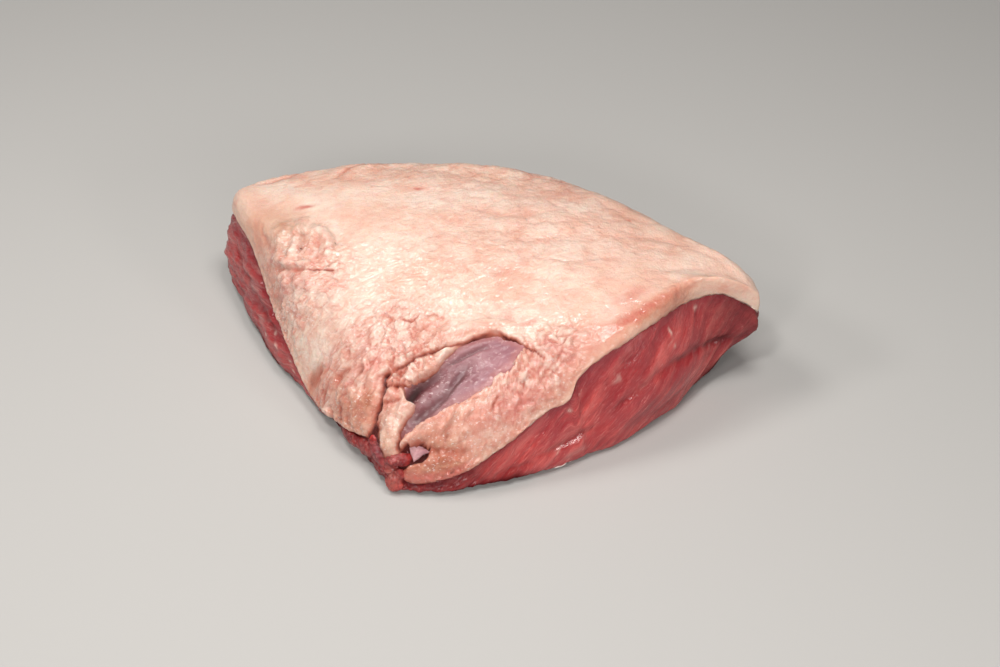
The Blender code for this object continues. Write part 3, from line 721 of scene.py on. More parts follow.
# ---- Sheets of points and squares ----
def grid_squares(columns, rows):
    """The squares of a grid whose points are numbered row by row."""
    row = columns + 1
    first = (np.arange(rows)[:, None] * row + np.arange(columns)).ravel()
    return np.stack([first, first + 1, first + row + 1, first + row], axis=1)


def grid_border(squares):
    """The points round a square grid, in order."""
    row, side = squares + 1, np.arange(squares)
    back = np.arange(squares, 0, -1)
    return np.concatenate([side, side * row + squares, squares * row + back, back * row])


def disc_grid(squares):
    """A square grid laid on a disc, finer towards the front, where the most relief is."""
    line = np.linspace(-1, 1, squares + 1)
    across = line - MIDDLE_DENSITY * line * (1 - line**2)
    u, v = (a.ravel() for a in np.meshgrid(across, line - FRONT_DENSITY * (1 - line**2)))
    share = np.maximum(abs(u), abs(v))
    wide = abs(u) >= abs(v)
    major, minor = np.where(wide, u, v), np.where(wide, v, u)
    slant = pi / 4 * minor / np.where(major == 0, 1, major)
    angle = np.where(wide, slant, pi / 2 - slant) + np.where(major < 0, pi, 0)
    return angle / (2 * pi) % 1.0, share


class Sheet:
    """Points, squares and triangles that face up and out, and the ring of points where they end."""

    def __init__(self, squares, inset_of, height_of):
        place, share = disc_grid(squares)
        rim = Rim(place)
        inset = rim.reach - share * (rim.reach - inset_of(rim))
        self.points = np.column_stack([plan(rim, inset), height_of(rim, inset)])
        self.insets = inset
        self.places = rim.at
        self.squares = grid_squares(squares, squares)
        self.triangles = np.empty((0, 3), int)
        self.ring = grid_border(squares)
        self.rim = Rim(place[self.ring])

    def add_points(self, rim, inset, height):
        numbers = len(self.points) + np.arange(len(inset))
        self.points = np.concatenate([self.points, np.column_stack([plan(rim, inset), height])])
        self.insets = np.concatenate([self.insets, inset])
        self.places = np.concatenate([self.places, rim.at])
        return numbers

    def add_ring(self, inset, height):
        inner, outer = self.ring, self.add_points(self.rim, inset, height)
        ring = np.stack([outer, np.roll(outer, -1), np.roll(inner, -1), inner], axis=1)
        self.squares = np.concatenate([self.squares, ring])
        self.ring = outer

    def add_double_ring(self, rim, inset, height):
        """Add a ring with twice as many points as the last one."""
        inner, outer = self.ring, self.add_points(rim, inset, height)
        even, odd = outer[::2], outer[1::2]
        after_inner, after_even = np.roll(inner, -1), np.roll(even, -1)
        fan = [(even, odd, inner), (odd, after_even, after_inner), (odd, after_inner, inner)]
        self.triangles = np.concatenate([self.triangles] + [np.stack(three, axis=1) for three in fan])
        self.ring = outer
        self.rim = rim


def seam_sheet(lowered):
    """The seam between fat and muscle, coarse in the middle where nothing shows."""

    def height_of(rim, inset):
        return seam_height(rim, inset) - lowered

    sheet = Sheet(PATCH // 4, lambda rim: np.full_like(rim.reach, SEAM_CORE), height_of)
    for squares, inset in SEAM_STEPS:
        rim = Rim(disc_grid(squares)[0][grid_border(squares)])
        row = np.full_like(rim.reach, inset)
        sheet.add_double_ring(rim, row, height_of(rim, row))
    for inset in SEAM_INSETS:
        row = np.full_like(sheet.rim.reach, inset)
        sheet.add_ring(row, height_of(sheet.rim, row))
    return sheet


def vertex_normals(points, squares, triangles=np.empty((0, 3), int)):
    """Unit normals of the points, averaged over the faces round them."""
    total = np.zeros_like(points)
    for faces in (squares, triangles):
        corners = [points[faces[:, i]] for i in range(faces.shape[1])]
        across = np.cross(corners[2] - corners[0], corners[-1] - corners[1])
        for corner in faces.T:
            np.add.at(total, corner, across)
    return total / np.maximum(np.linalg.norm(total, axis=1), 1e-9)[:, None]


def placed(points):
    return (points - MIDDLE) * SCALE * 0.001


# ---- The fat ----
def crown_sheet():
    """Crown, shoulder and the face that ends the fat."""
    sheet = Sheet(PATCH, lambda rim: rim.run, smooth_height)
    rim = sheet.rim
    for slope in np.linspace(0, 1, SHOULDER_RINGS + 1)[1:]:
        inset = rim.run * (1 - np.sin(slope * rim.roll) / np.sin(rim.roll))
        sheet.add_ring(inset, smooth_height(rim, inset))
    foot = smooth_height(rim, np.zeros_like(rim.reach))
    for share in np.linspace(0, 1, LIP_RINGS + 1)[1:]:
        sheet.add_ring(np.full_like(rim.reach, -LIP_BULGE * sin(pi * share)), foot - share * rim.lip)
    return sheet


class FatField:
    """What varies over the fat: the regions, lumps of several sizes, streaks, creases and openings."""

    def __init__(self, crown):
        self.place = place = crown.points[:, :2]
        self.insets = crown.insets
        self.side = 1 - smooth((crown.insets + 1) / 7)
        self.flat = flat = crown.points.copy()
        wobble = wander(flat, 7, (11, 12, 15), 3)
        ruffle = wander(flat, 2.4, (13, 14, 16), 2)
        self.near = place + wobble[:, :2]
        self.bent = place + 0.8 * wobble[:, :2] + 0.25 * ruffle[:, :2]
        self.grains = lump_gap(flat + 1.2 * wobble + 0.5 * ruffle, 5.2, 37)
        self.feathered = region(self.near, *FEATHERED)
        self.window = outline_distance(place + (wobble * 0.7 + ruffle * 0.35)[:, :2], WINDOW)
        self.window += self.feathered * 2.2 * (self.grains - 0.45)
        self.inlet = outline_distance(place + (wobble * 0.4 + ruffle * 0.2)[:, :2], INLET)

        shifted = place + 3 * wobble[:, :2]
        for name, shape in REGIONS.items():
            setattr(self, name, region(shifted, *shape))
        vary = smooth(0.5 + 1.1 * noise(flat, 11, 39))
        self.lumpy = self.lobed * (0.35 + 0.65 * vary)
        self.streaky_patches = self.streaky * vary
        self.behind_patches = self.behind * vary

        warped = flat + 2.2 * wobble
        self.big = lump_gap(turned(warped, 50, 1.5), 9.0, 33)
        self.middle = lump_gap(turned(warped, 40, 1.45), 5.0, 31)
        self.small = lump_gap(turned(flat + 0.8 * wobble + 0.7 * ruffle, 35, 1.5), 2.7, 32)
        self.quilt = lump_gap(turned(warped, 15, 1.6), 13.0, 34)
        self.streaks = rough(turned(flat + 0.8 * wobble, 35, 1.9), 3.2, 35, 3)

    def blend(self, table, patterns):
        """The sum of the patterns over all regions, by the table's shares of each pattern in a region."""
        total = np.zeros(len(self.place))
        for name, shares in table.items():
            total += getattr(self, name) * sum(share * pattern for share, pattern in zip(shares, patterns))
        return total


def fat_relief(f):
    """Height of the finer forms over the smooth crown."""
    lumps = [dome(gap) for gap in (f.big, f.middle, f.small, f.grains)]
    relief = spots(f.place, SWELLINGS) + forms(f.bent, LOBES.values(), bulge, 3.4)
    relief += 0.8 * rough(f.flat, 42, 21, 2) + 0.35 * rough(f.flat, 15, 22, 3)
    relief += f.blend(RELIEF, [*lumps, f.streaks])
    relief += f.granular * 0.9 * rough(f.flat, 8, 38, 2) + f.calm * 0.5 * dome(f.quilt)
    relief += 0.7 * np.exp(-(((f.window - 1.6) / 1.4) ** 2)) * (1 - f.feathered)
    dents = [(wide, deep, path) for wide, deep, _, path in CREASES.values()]
    relief -= forms(f.bent, dents, bell(1.5), 6, 0.3)
    return relief + f.side * (0.5 * rough(f.flat, 14, 41, 3) + 0.22 * rough(f.flat, 4, 42, 2))


def open_fat(points, f, lip_share):
    """Sink the fat below the membrane inside the window, and down to the meat inside the inlet."""
    rim, inset = rim_through(f.place)
    inset = np.maximum(inset, 0)
    level = smooth_height(rim, inset)
    floor = level - membrane_depth(f.place) - WINDOW_FLOOR
    soft = 0.9 + 0.7 * f.feathered + 0.5 * f.strip
    into = smooth((soft - f.window) / (2 * soft)) * (f.insets > 0.5)
    points[:, 2] += (floor - points[:, 2]) * into
    opened = smooth(0.5 - f.inlet / 1.6) * (1 - lip_share)
    lowest = seam_height(rim, inset) + 0.3
    points[:, 2] += np.minimum(np.maximum(lowest, level - INLET_DEPTH) - points[:, 2], 0) * opened
    within = f.insets > 0.3
    points[within, 2] = np.maximum(points[within, 2], lowest[within])


def fat_masks(f):
    """What the fat's material needs to know, from 0 to 1 at each point."""
    border = np.exp(-(((f.window + 0.5) / 0.9) ** 2)) * (1 - 0.75 * f.feathered)
    inside = smooth(-f.window / 1.5) * (1 - f.feathered)
    marks = [(1.1 * wide, redness, path) for wide, _, redness, path in CREASES.values()]
    red = forms(f.bent, marks, bell(2), 6, 0.3)
    clefts = f.blend(CLEFTS, [cleft(gap, 0.15) for gap in (f.big, f.middle, f.small, f.grains)])
    # The tops of the lumps, where lighter colour is painted for the light falling on them
    lit_tops = f.lobed * smooth(f.middle * 1.4 - 0.3) + f.granular * smooth(f.grains * 1.8 - 0.3)
    lit_tops += f.strip * smooth(f.middle * 1.3 - 0.3) + f.folded * smooth(f.middle * 1.6 - 0.3)
    parts = [getattr(f, part) for part in LOOK_PARTS]
    masks = {name: sum(map(np.multiply, shares, parts)) for name, shares in LOOKS.items()}
    masks |= {
        # crease: the creases' red with painted shade in them, at the window's border and in the inlet
        "crease": red + 0.8 * border + inside + 1.2 * smooth(0.5 - f.inlet / 2),
        # cleft: pink red in the clefts between lumps, partly painted shade
        "cleft": clefts + 0.2 * f.calm * cleft(f.quilt, 0.2),
        "top": lit_tops + 0.5 * f.calm * smooth(f.quilt * 1.4 - 0.4),
        # stain: real stains, and painted shade on the lower side of the bottom lobe
        "stain_and_shade": spots(f.near, STAINS) + 0.7 * f.bottom * smooth(1.2 - f.insets),
        # tan: the fat's own tan, with painted shade on the bottom lobe, along edges and near the fat's face
        "tan_and_shade": spots(f.near, TANNED) + 0.22 * f.side,
        "smoothed": f.smoothed,
    }
    return {name: np.clip(values, 0, 1) for name, values in masks.items()}


def make_fat():
    crown, seam = crown_sheet(), seam_sheet(0.0)
    count, ring = len(crown.points), len(crown.ring)
    lip_share = np.zeros(count)
    lip_share[-LIP_RINGS * ring :] = np.repeat(np.arange(1, LIP_RINGS + 1) / LIP_RINGS, ring)
    field = FatField(crown)
    normals = vertex_normals(crown.points, crown.squares)
    points = crown.points + normals * (fat_relief(field) * smooth((1 - lip_share) * 1.4))[:, None]
    ragged = rough(crown.points * (1, 1, 0.3), 4.0, 43, 3)
    points[:, 2] -= lip_share**2 * np.clip(0.5 + 0.9 * ragged, 0, 1.6)
    open_fat(points, field, lip_share)

    below = np.zeros(len(seam.points))
    masks = {name: np.concatenate([values, below]) for name, values in fat_masks(field).items()}
    bridge = [seam.ring + count, np.roll(seam.ring, -1) + count, np.roll(crown.ring, -1), crown.ring]
    faces = [crown.squares, (seam.squares + count)[:, ::-1], (seam.triangles + count)[:, ::-1]]
    faces.append(np.stack(bridge, axis=1))
    points = np.concatenate([points, seam.points])
    return add_piece("fat_surface", points, faces, masks, "fat_cap")


# ---- The muscle ----
def fibre_grain(places, height):
    """Coordinates in which the fibres run along the first two and are stacked along the third.

    Where the wall looks forward the fibres rise to the right, and behind they rise to the left. The first
    two run round a circle as long as the edge, so nothing jumps where the edge closes.
    """
    steps = np.diff(np.concatenate([ROUND_RIM.edge, ROUND_RIM.edge[:1]]), axis=0)
    lengths = np.linalg.norm(steps, axis=1)
    slopes = radians(FIBRE_RISE) * steps[:, 0] / lengths
    run = np.concatenate([[0.0], np.cumsum(lengths * np.cos(slopes))])
    climb = np.concatenate([[0.0], np.cumsum(lengths * np.sin(slopes))])
    climb -= ROUND * climb[-1]
    slope = np.interp(places, ROUND, np.append(slopes, slopes[0]))
    along = np.interp(places, ROUND, run) + height * np.sin(slope)
    across = height * np.cos(slope) - np.interp(places, ROUND, climb)
    turn = 2 * pi * along / run[-1]
    return np.column_stack([np.cos(turn) * run[-1] / (2 * pi), np.sin(turn) * run[-1] / (2 * pi), across])


def wall(rim, start, share):
    """How far out of the edge and how high the muscle's side is, a share of the way down."""
    outs = [np.zeros_like(start), rim.belly, rim.foot, rim.foot - SOLE_INSET]
    heights = [start, np.minimum(rim.belly_z, start * 0.7), rim.foot_z, np.zeros_like(start)]
    stretch = min(int(share * 3), 2)
    before, after = max(stretch - 1, 0), min(stretch + 2, 3)
    row = []
    for knots in (outs, heights):
        start_slope = (knots[stretch + 1] - knots[before]) / 2
        end_slope = (knots[after] - knots[stretch]) / 2
        row.append(hermite(share * 3 - stretch, knots[stretch], knots[stretch + 1], start_slope, end_slope))
    return row[0], np.maximum(row[1], 0)


class MuscleField:
    """What varies over the muscle: how far down its side a point is, its fibres, folds, rolls and sinew."""

    def __init__(self, sheet, top_count):
        points, places, across = sheet.points, sheet.places, len(sheet.ring)
        self.walls = np.arange(len(points)) >= top_count - across
        self.down = np.zeros(len(points))
        self.down[top_count:] = np.repeat(np.linspace(0, 1, WALL_RINGS + 1)[1:], across)
        self.near_fat = (1 - smooth(self.down * 5)) * self.walls
        self.tip_end = smooth((places - 0.60) / 0.04) * smooth((0.76 - places) / 0.03)
        self.left = smooth((0.70 - places) / 0.03) * smooth((places - 0.40) / 0.03)
        self.grain = grain = fibre_grain(places, points[:, 2])
        self.wobble = wobble = rough(points, 9, 61, 3)[:, None]
        bent = points + wobble * 0.8
        self.folds = forms(bent, FOLDS.values(), bell(1.4))
        self.rolls = forms(bent, ROLLS.values(), bell(2.0))
        self.sinew = forms(points + 0.5 * rough(points, 3, 67, 2)[:, None], SINEW, bell(2.4))
        self.fibres = rough(grain * (0.09, 0.09, 1) + wobble * 0.15, 1.9, 62, 3)
        self.cords = rough(grain * (0.10, 0.10, 1) + wobble * 0.2, 5.0, 63, 2)


def muscle_relief(points, m):
    """Height of the finer forms over the smooth muscle."""
    bumps = dome(lump_gap(turned(points + m.wobble, LEFT_HEADING, 3.2), 3.0, 66))
    relief = 0.30 * m.fibres + 0.65 * m.cords + 0.8 * rough(points, 24, 64, 3) - m.folds + m.rolls
    relief += 0.35 * m.sinew + (m.near_fat + 0.5 * m.left) * 0.4 * bumps
    relief += m.tip_end * (0.9 * rough(points, 6, 65, 3) + 0.4 * bumps)
    relief += m.left * (1.1 * rough(turned(points, LEFT_HEADING, 2.6), 7, 68, 3) + 0.4 * m.cords)
    return relief * smooth(m.down * 14) * smooth((1 - m.down) * 12) * m.walls


def muscle_masks(points, m):
    """What the muscle's material needs to know at each point; the grain is in metres."""
    x, y, z = points.T
    right_end = smooth((x - 90) / 20) * smooth((z - 14) / 14)
    front_left = smooth((22 - x) / 50) * smooth((x + 60) / 15) * (y < -40)
    front_right = smooth((x - 5) / 20) * smooth((105 - x) / 20) * (y < 15)
    masks = {
        # Painted shade in the folds
        "fold_shade": np.clip(m.folds / 1.8, 0, 1),
        "near_fat": m.near_fat,
        # The cords' height, for painted shade between them and painted highlight on them
        "cord_shading": np.clip(0.5 + 0.6 * m.cords, 0, 1),
        # low: the lower part of the wall, where near black painted shade is laid
        "low": smooth((m.down - 0.42 - 0.22 * front_right) / 0.22) * (1 - 0.4 * front_right) * m.walls,
        "left": m.left * m.walls,
        "sinew": np.clip(m.sinew, 0, 1) * m.walls,
        # Painted shade at the tip end, on the front left under the fat and at the right end
        "shaded": np.clip(0.85 * np.maximum(m.tip_end, front_left) + 0.7 * right_end, 0, 1) * m.walls,
        "wet": np.clip(m.near_fat + m.left + 0.5 * m.tip_end, 0, 1),
    }
    return masks | dict(zip(("grain_x", "grain_y", "across"), m.grain.T * 0.001))


def make_muscle():
    sheet = seam_sheet(GAP)
    rim, top_count = sheet.rim, len(sheet.points)
    start = seam_height(rim, np.zeros_like(rim.reach)) - GAP
    for share in np.linspace(0, 1, WALL_RINGS + 1)[1:]:
        out, height = wall(rim, start, share)
        sheet.add_ring(-out, height)
    field = MuscleField(sheet, top_count)
    normals = vertex_normals(sheet.points, sheet.squares, sheet.triangles)
    points = sheet.points + normals * muscle_relief(sheet.points, field)[:, None]
    points[:, 2] = np.maximum(points[:, 2], 0)
    faces = [sheet.squares, sheet.triangles, sheet.ring[None, ::-1]]
    masks = muscle_masks(points, field)
    return add_piece("muscle_surface", points, faces, masks, "lean_muscle")


# ---- The membrane in the window ----
def make_membrane():
    xs, ys = np.linspace(*MEMBRANE_X), np.linspace(*MEMBRANE_Y)
    place = np.array([(x, y) for y in ys for x in xs])
    rim, inset = rim_through(place)
    base = smooth_height(rim, np.maximum(inset, 0))
    window = outline_distance(place, WINDOW)
    flat = np.column_stack([place, base])
    bent = place + wander(flat, 9, (71, 72), 2) * 0.6
    folds = forms(bent, MEMBRANE_FOLDS.values(), bell(1.8))
    height = base - membrane_depth(place) + forms(bent, MEMBRANE_ROLLS.values(), bell(2.0)) - folds
    height += 0.30 * rough(turned(flat, MEMBRANE_HEADING, 2.2), 8, 73, 2)
    height += 0.14 * rough(turned(flat, MEMBRANE_HEADING, 1.6), 2.6, 74, 3)
    height -= 4 * smooth((window - 1.0) / 3.0)
    points = np.column_stack([place, height])
    squares = grid_squares(len(xs) - 1, len(ys) - 1)
    keep = (window < 5) & (inset > 1.5)
    used, squares = np.unique(squares[keep[squares].all(axis=1)], return_inverse=True)
    masks = {
        # Painted shade in the folds
        "fold_shade": np.clip(folds / 1.6, 0, 1),
        "edge": smooth(1 + window / 3),
        # Painted shadow in the pocket under the strip
        "pit_shadow": np.clip((membrane_depth(place) - 2.1) / 2.6, 0, 1),
        "wet": region(place, -30, -54, 26, 12, 42, 0.9),
    }
    masks = {name: values[used] for name, values in masks.items()}
    return add_piece("membrane", points[used], [squares.reshape(-1, 4)], masks, "lean_muscle")


# ---- Loose bits of tissue ----
def lump(x, y, z, long, wide, tall, heading, tilt, seed):
    """A rounded, uneven lump: points and faces."""
    steps, row = LUMP_STEPS, 2 * LUMP_STEPS
    lifts = np.linspace(-pi / 2, pi / 2, steps + 1)[1:-1]
    turn, lift = np.meshgrid(np.arange(row) * pi / steps, lifts)
    ball = np.stack([np.cos(turn) * np.cos(lift), np.sin(turn) * np.cos(lift), np.sin(lift)], axis=-1)
    ball = np.concatenate([ball.reshape(-1, 3), [(0, 0, -1), (0, 0, 1)]])
    shape = ball * np.array([long, wide, tall])
    swell = 1 + 0.16 * rough(shape + seed * 17.0, 3.4, seed, 3) + 0.05 * rough(shape, 1.0, seed + 5, 2)
    a, b = radians(tilt), radians(heading)
    x_axis = np.array([cos(a) * cos(b), cos(a) * sin(b), sin(a)])
    y_axis = np.array([-sin(b), cos(b), 0])
    points = shape * swell[:, None] @ np.stack([x_axis, y_axis, np.cross(x_axis, y_axis)]) + (x, y, z)
    i, j = (a.ravel() for a in np.meshgrid(np.arange(steps - 2) * row, np.arange(row)))
    after = (j + 1) % row
    faces = np.stack([i + j, i + after, i + row + after, i + row + j], axis=1).tolist()
    around, last = np.arange(row), (steps - 2) * row
    ahead, south = np.roll(around, -1), np.full(row, len(points) - 2)
    faces += np.stack([south, ahead, around], axis=1).tolist()
    faces += np.stack([south + 1, last + around, last + ahead], axis=1).tolist()
    return points, faces


def joined_lumps(table, seed):
    """All lumps of a table as one list of points and one of faces."""
    points, faces, before = [], [], 0
    for number, values in enumerate(table):
        some, some_faces = lump(*values, seed + number * 10)
        points.append(some)
        faces += [[corner + before for corner in face] for face in some_faces]
        before += len(some)
    return np.concatenate(points), faces


def add_object(name, data):
    made = bpy.data.objects.new(name, data)
    bpy.context.scene.collection.objects.link(made)
    return made


def add_mesh(name, points, faces):
    """A new object with a mesh of these points, in metres."""
    mesh = bpy.data.meshes.new(name)
    mesh.from_pydata(points, [], faces)
    return add_object(name, mesh)


def merged_skin(points, faces):
    """The outer skin of overlapping closed lumps, a little softened: points and squares."""
    loose = add_mesh("loose_lumps", (points * 0.001).tolist(), faces)
    join = loose.modifiers.new("join", "REMESH")
    join.mode = "VOXEL"
    join.voxel_size = VOXEL
    soften = loose.modifiers.new("soften", "SMOOTH")
    soften.iterations = SOFTENING
    skin = bpy.data.meshes.new_from_object(loose.evaluated_get(bpy.context.evaluated_depsgraph_get()))
    places = np.empty(len(skin.vertices) * 3)
    skin.vertices.foreach_get("co", places)
    squares = np.array([face.vertices[:] for face in skin.polygons])
    bpy.data.objects.remove(loose)
    bpy.data.meshes.remove(skin)
    return places.reshape(-1, 3) * 1000, squares


def make_tip():
    points, squares = merged_skin(*joined_lumps(TIP_LUMPS.values(), 200))
    bumps = lump_gap(points + rough(points, 4, 81, 2)[:, None], 4.0, 82)
    relief = 0.28 * rough(points, 4.5, 83, 3) + 0.20 * dome(bumps)
    points = points + vertex_normals(points, squares) * relief[:, None]
    points[:, 2] = np.maximum(points[:, 2], 0.1)
    # cleft: where painted shade goes, in the clefts between the bumps
    masks = {"cleft": cleft(bumps)}
    for name, table in (("red", TIP_RED), ("pale", TIP_PALE), ("purple", TIP_PURPLE)):
        masks[name] = balls(points, table)
    return add_piece("tip_lumps", points, [squares], masks, "lean_muscle")


def make_leaf():
    """A small flat flap of silver skin that hangs out between the lobes at the tip."""
    steps = np.linspace(0, 1, LEAF_SQUARES + 1)
    u, v = (a.ravel()[:, None] for a in np.meshgrid(steps, steps))
    back_left, back_right, front_right, front_left = (np.array(corner) for corner in TIP_LEAF)
    points = (back_left * (1 - u) + back_right * u) * (1 - v) + (front_left * (1 - u) + front_right * u) * v
    points = points + np.column_stack([0 * u, 0 * u, 0.9 * np.sin(pi * u) - 0.5 * np.sin(2 * pi * v)])
    points += 0.35 * wander(points, 3, (91, 92, 93), 2)
    count = len(points)
    points = np.concatenate([points, points - (0, 0, LEAF_THICKNESS)])
    squares, ring = grid_squares(LEAF_SQUARES, LEAF_SQUARES), grid_border(LEAF_SQUARES)
    after = np.roll(ring, -1)
    sides = np.stack([ring + count, after + count, after, ring], axis=1)
    faces = [squares, squares[:, ::-1] + count, sides]
    return add_piece("tip_leaf", points, faces, {}, "lean_muscle")


def make_shreds():
    points, faces = joined_lumps(WHITE_SHREDS, 500)
    return add_piece("white_shreds", points, [faces], {}, "lean_muscle")


# ---- Meshes and materials ----
def add_piece(name, points, face_blocks, masks, node):
    faces = [tuple(face) for block in face_blocks for face in np.asarray(block, object).tolist()]
    piece = add_mesh(name, placed(points).tolist(), faces)
    for mask, values in masks.items():
        layer = piece.data.attributes.new(mask, "FLOAT", "POINT")
        layer.data.foreach_set("value", np.ascontiguousarray(values, dtype=np.float32))
    piece.data.shade_smooth()
    piece.data.update()
    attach(piece, "root")
    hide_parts(node)
    return piece


class Shader:
    """A short way to write a node material. A word in place of a value stands for the mask of that name."""

    def __init__(self, name, colour=None):
        self.material = bpy.data.materials.new(name)
        self.material.use_nodes = True
        self.tree = self.material.node_tree
        self.main = self.tree.nodes["Principled BSDF"]
        self.position = self.node("ShaderNodeTexCoord").outputs["Object"]
        self.colour = colour

    def node(self, kind, **settings):
        made = self.tree.nodes.new(kind)
        for key, value in settings.items():
            setattr(made, key, value)
        return made

    def put(self, socket, value):
        if isinstance(value, str):
            value = self.node("ShaderNodeAttribute", attribute_name=value).outputs["Fac"]
        if isinstance(value, bpy.types.NodeSocket):
            self.tree.links.new(value, socket)
        elif socket.type == "RGBA":
            socket.default_value = (*value, 1)
        else:
            socket.default_value = value

    def fill(self, made, **inputs):
        for key, value in inputs.items():
            self.put(made.inputs[key.replace("_", " ")], value)

    def math(self, operation, a, b=0.0, clamp=False):
        made = self.node("ShaderNodeMath", operation=operation, use_clamp=clamp)
        self.put(made.inputs[0], a)
        self.put(made.inputs[1], b)
        return made.outputs[0]

    def plus(self, a, b):
        return self.math("ADD", a, b)

    def times(self, a, b):
        return self.math("MULTIPLY", a, b)

    def less(self, a, b):
        return self.math("SUBTRACT", a, b, clamp=True)

    def noise(self, vector, scale, detail=4.0, roughness=0.55, distortion=0.0):
        made = self.node("ShaderNodeTexNoise")
        self.fill(made, Vector=vector, Scale=scale, Detail=detail)
        self.fill(made, Roughness=roughness, Distortion=distortion)
        return made.outputs["Fac"]

    def stretched(self, vector, heading, scale):
        made = self.node("ShaderNodeMapping")
        self.fill(made, Vector=vector, Rotation=(0, 0, radians(heading)), Scale=scale)
        return made.outputs[0]

    def ramp(self, value, low, high, start=0.0, end=1.0):
        made = self.node("ShaderNodeMapRange", clamp=True)
        self.fill(made, Value=value, From_Min=low, From_Max=high, To_Min=start, To_Max=end)
        return made.outputs[0]

    def mix(self, share, a, b):
        made = self.node("ShaderNodeMix", data_type="RGBA")
        for place, value in ((0, share), (6, a), (7, b)):
            self.put(made.inputs[place], value)
        return made.outputs[2]

    def start(self, share, *tints):
        """Begin with a colour between two of the material's tints."""
        self.colour = self.mix(share, *(TINTS[self.material.name][tint] for tint in tints))

    def paint(self, tint, share, *others):
        """Lay one of the material's tints over the colour, as strongly as the product of the shares."""
        for other in others:
            share = self.times(share, other)
        self.colour = self.mix(share, self.colour, TINTS[self.material.name][tint])

    def bump(self, height, distance, strength=1.0):
        made = self.node("ShaderNodeBump")
        self.fill(made, Height=height, Distance=distance, Strength=strength)
        return made.outputs[0]

    def finish_wet(self, coat, relief, ripples):
        """Finish a wet surface: how strong its coat is, its own bumps and those of the coat."""
        settings = dict(zip(SURFACE_COLUMNS, SURFACES[self.material.name]))
        return self.finish(Coat_Weight=coat, Normal=relief, Coat_Normal=ripples, **settings)

    def finish(self, **inputs):
        self.fill(self.main, Base_Color=self.colour, **inputs)
        return self.material


# How the wet surfaces take the light
SURFACE_COLUMNS = (
    "Roughness Specular_IOR_Level Coat_Roughness Coat_IOR "
    "Subsurface_Weight Subsurface_Radius Subsurface_Scale IOR"
).split()
SURFACES = {
    "raw_fat": (0.45, 0.3, 0.10, 1.7, 0.25, (1.0, 0.38, 0.22), 0.0035, 1.42),
    "raw_muscle": (0.6, 0.06, 0.15, 1.6, 0.10, (1.0, 0.20, 0.15), 0.003, 1.38),
    "raw_tip_meat": (0.5, 0.05, 0.13, 1.6, 0.10, (1.0, 0.25, 0.20), 0.002, 1.38),
    "silver_membrane": (0.42, 0.2, 0.10, 1.7, 0.10, (1.0, 0.35, 0.35), 0.002, 1.40),
    "pale_leaf": (0.45, 0.3, 0.14, 1.5, 0.10, (1.0, 0.35, 0.35), 0.002, 1.40),
}
# Tints of each material, in the order in which they are laid on. Several of them are painted light and
# shade, as noted where they are laid on
TINTS = {
    "raw_fat": dict(
        cream=(0.85, 0.67, 0.56),
        buff=(0.79, 0.52, 0.41),
        pink=(0.79, 0.42, 0.33),
        rose=(0.74, 0.30, 0.24),
        flush=(0.72, 0.335, 0.245),
        white=(0.90, 0.76, 0.66),
        top=(0.92, 0.73, 0.62),
        tan_and_shade=(0.62, 0.29, 0.165),
        deep_tan_and_shade=(0.40, 0.125, 0.065),
        pore=(0.64, 0.24, 0.18),
        glint=(0.96, 0.88, 0.83),
        vein=(0.66, 0.36, 0.27),
        cleft=(0.54, 0.13, 0.08),
        stain_and_shade=(0.56, 0.13, 0.10),
        crease=(0.44, 0.10, 0.06),
        crease_shade=(0.10, 0.012, 0.010),
    ),
    "raw_muscle": dict(
        deep_red=(0.56, 0.050, 0.050),
        red=(0.74, 0.112, 0.100),
        blot=(0.32, 0.022, 0.034),
        pale_fibre=(0.74, 0.22, 0.20),
        dark_fibre=(0.28, 0.014, 0.022),
        pale_thread=(0.80, 0.30, 0.27),
        dark_thread=(0.26, 0.012, 0.020),
        fleck=(0.82, 0.46, 0.40),
        shade_between_cords=(0.30, 0.018, 0.026),
        cord_shading=(0.80, 0.22, 0.19),
        shade_under_fat=(0.22, 0.014, 0.028),
        left=(0.30, 0.026, 0.032),
        left_fleck=(0.66, 0.26, 0.23),
        low=(0.07, 0.004, 0.006),
        shaded=(0.13, 0.009, 0.012),
        sinew=(0.84, 0.58, 0.50),
        fold_shade=(0.11, 0.006, 0.010),
    ),
    "raw_tip_meat": dict(
        deep_red=(0.20, 0.014, 0.018),
        red=(0.40, 0.055, 0.048),
        purple=(0.25, 0.055, 0.068),
        pale=(0.46, 0.15, 0.11),
        blood=(0.62, 0.026, 0.024),
        speck=(0.58, 0.24, 0.20),
        cleft=(0.09, 0.006, 0.008),
    ),
    "silver_membrane": dict(
        mauve=(0.27, 0.105, 0.130),
        silver=(0.40, 0.185, 0.205),
        fine=(0.55, 0.31, 0.32),
        speck=(0.70, 0.46, 0.46),
        edge=(0.48, 0.17, 0.14),
        wet=(0.18, 0.050, 0.054),
        glint=(0.84, 0.64, 0.64),
        pit_shadow=(0.025, 0.006, 0.006),
        fold_shade=(0.12, 0.045, 0.05),
    ),
    "pale_leaf": dict(
        mauve=(0.36, 0.16, 0.18),
        silver=(0.54, 0.30, 0.31),
    ),
    "white_shred": dict(
        cream=(0.80, 0.66, 0.60),
        white=(0.88, 0.80, 0.76),
    ),
}


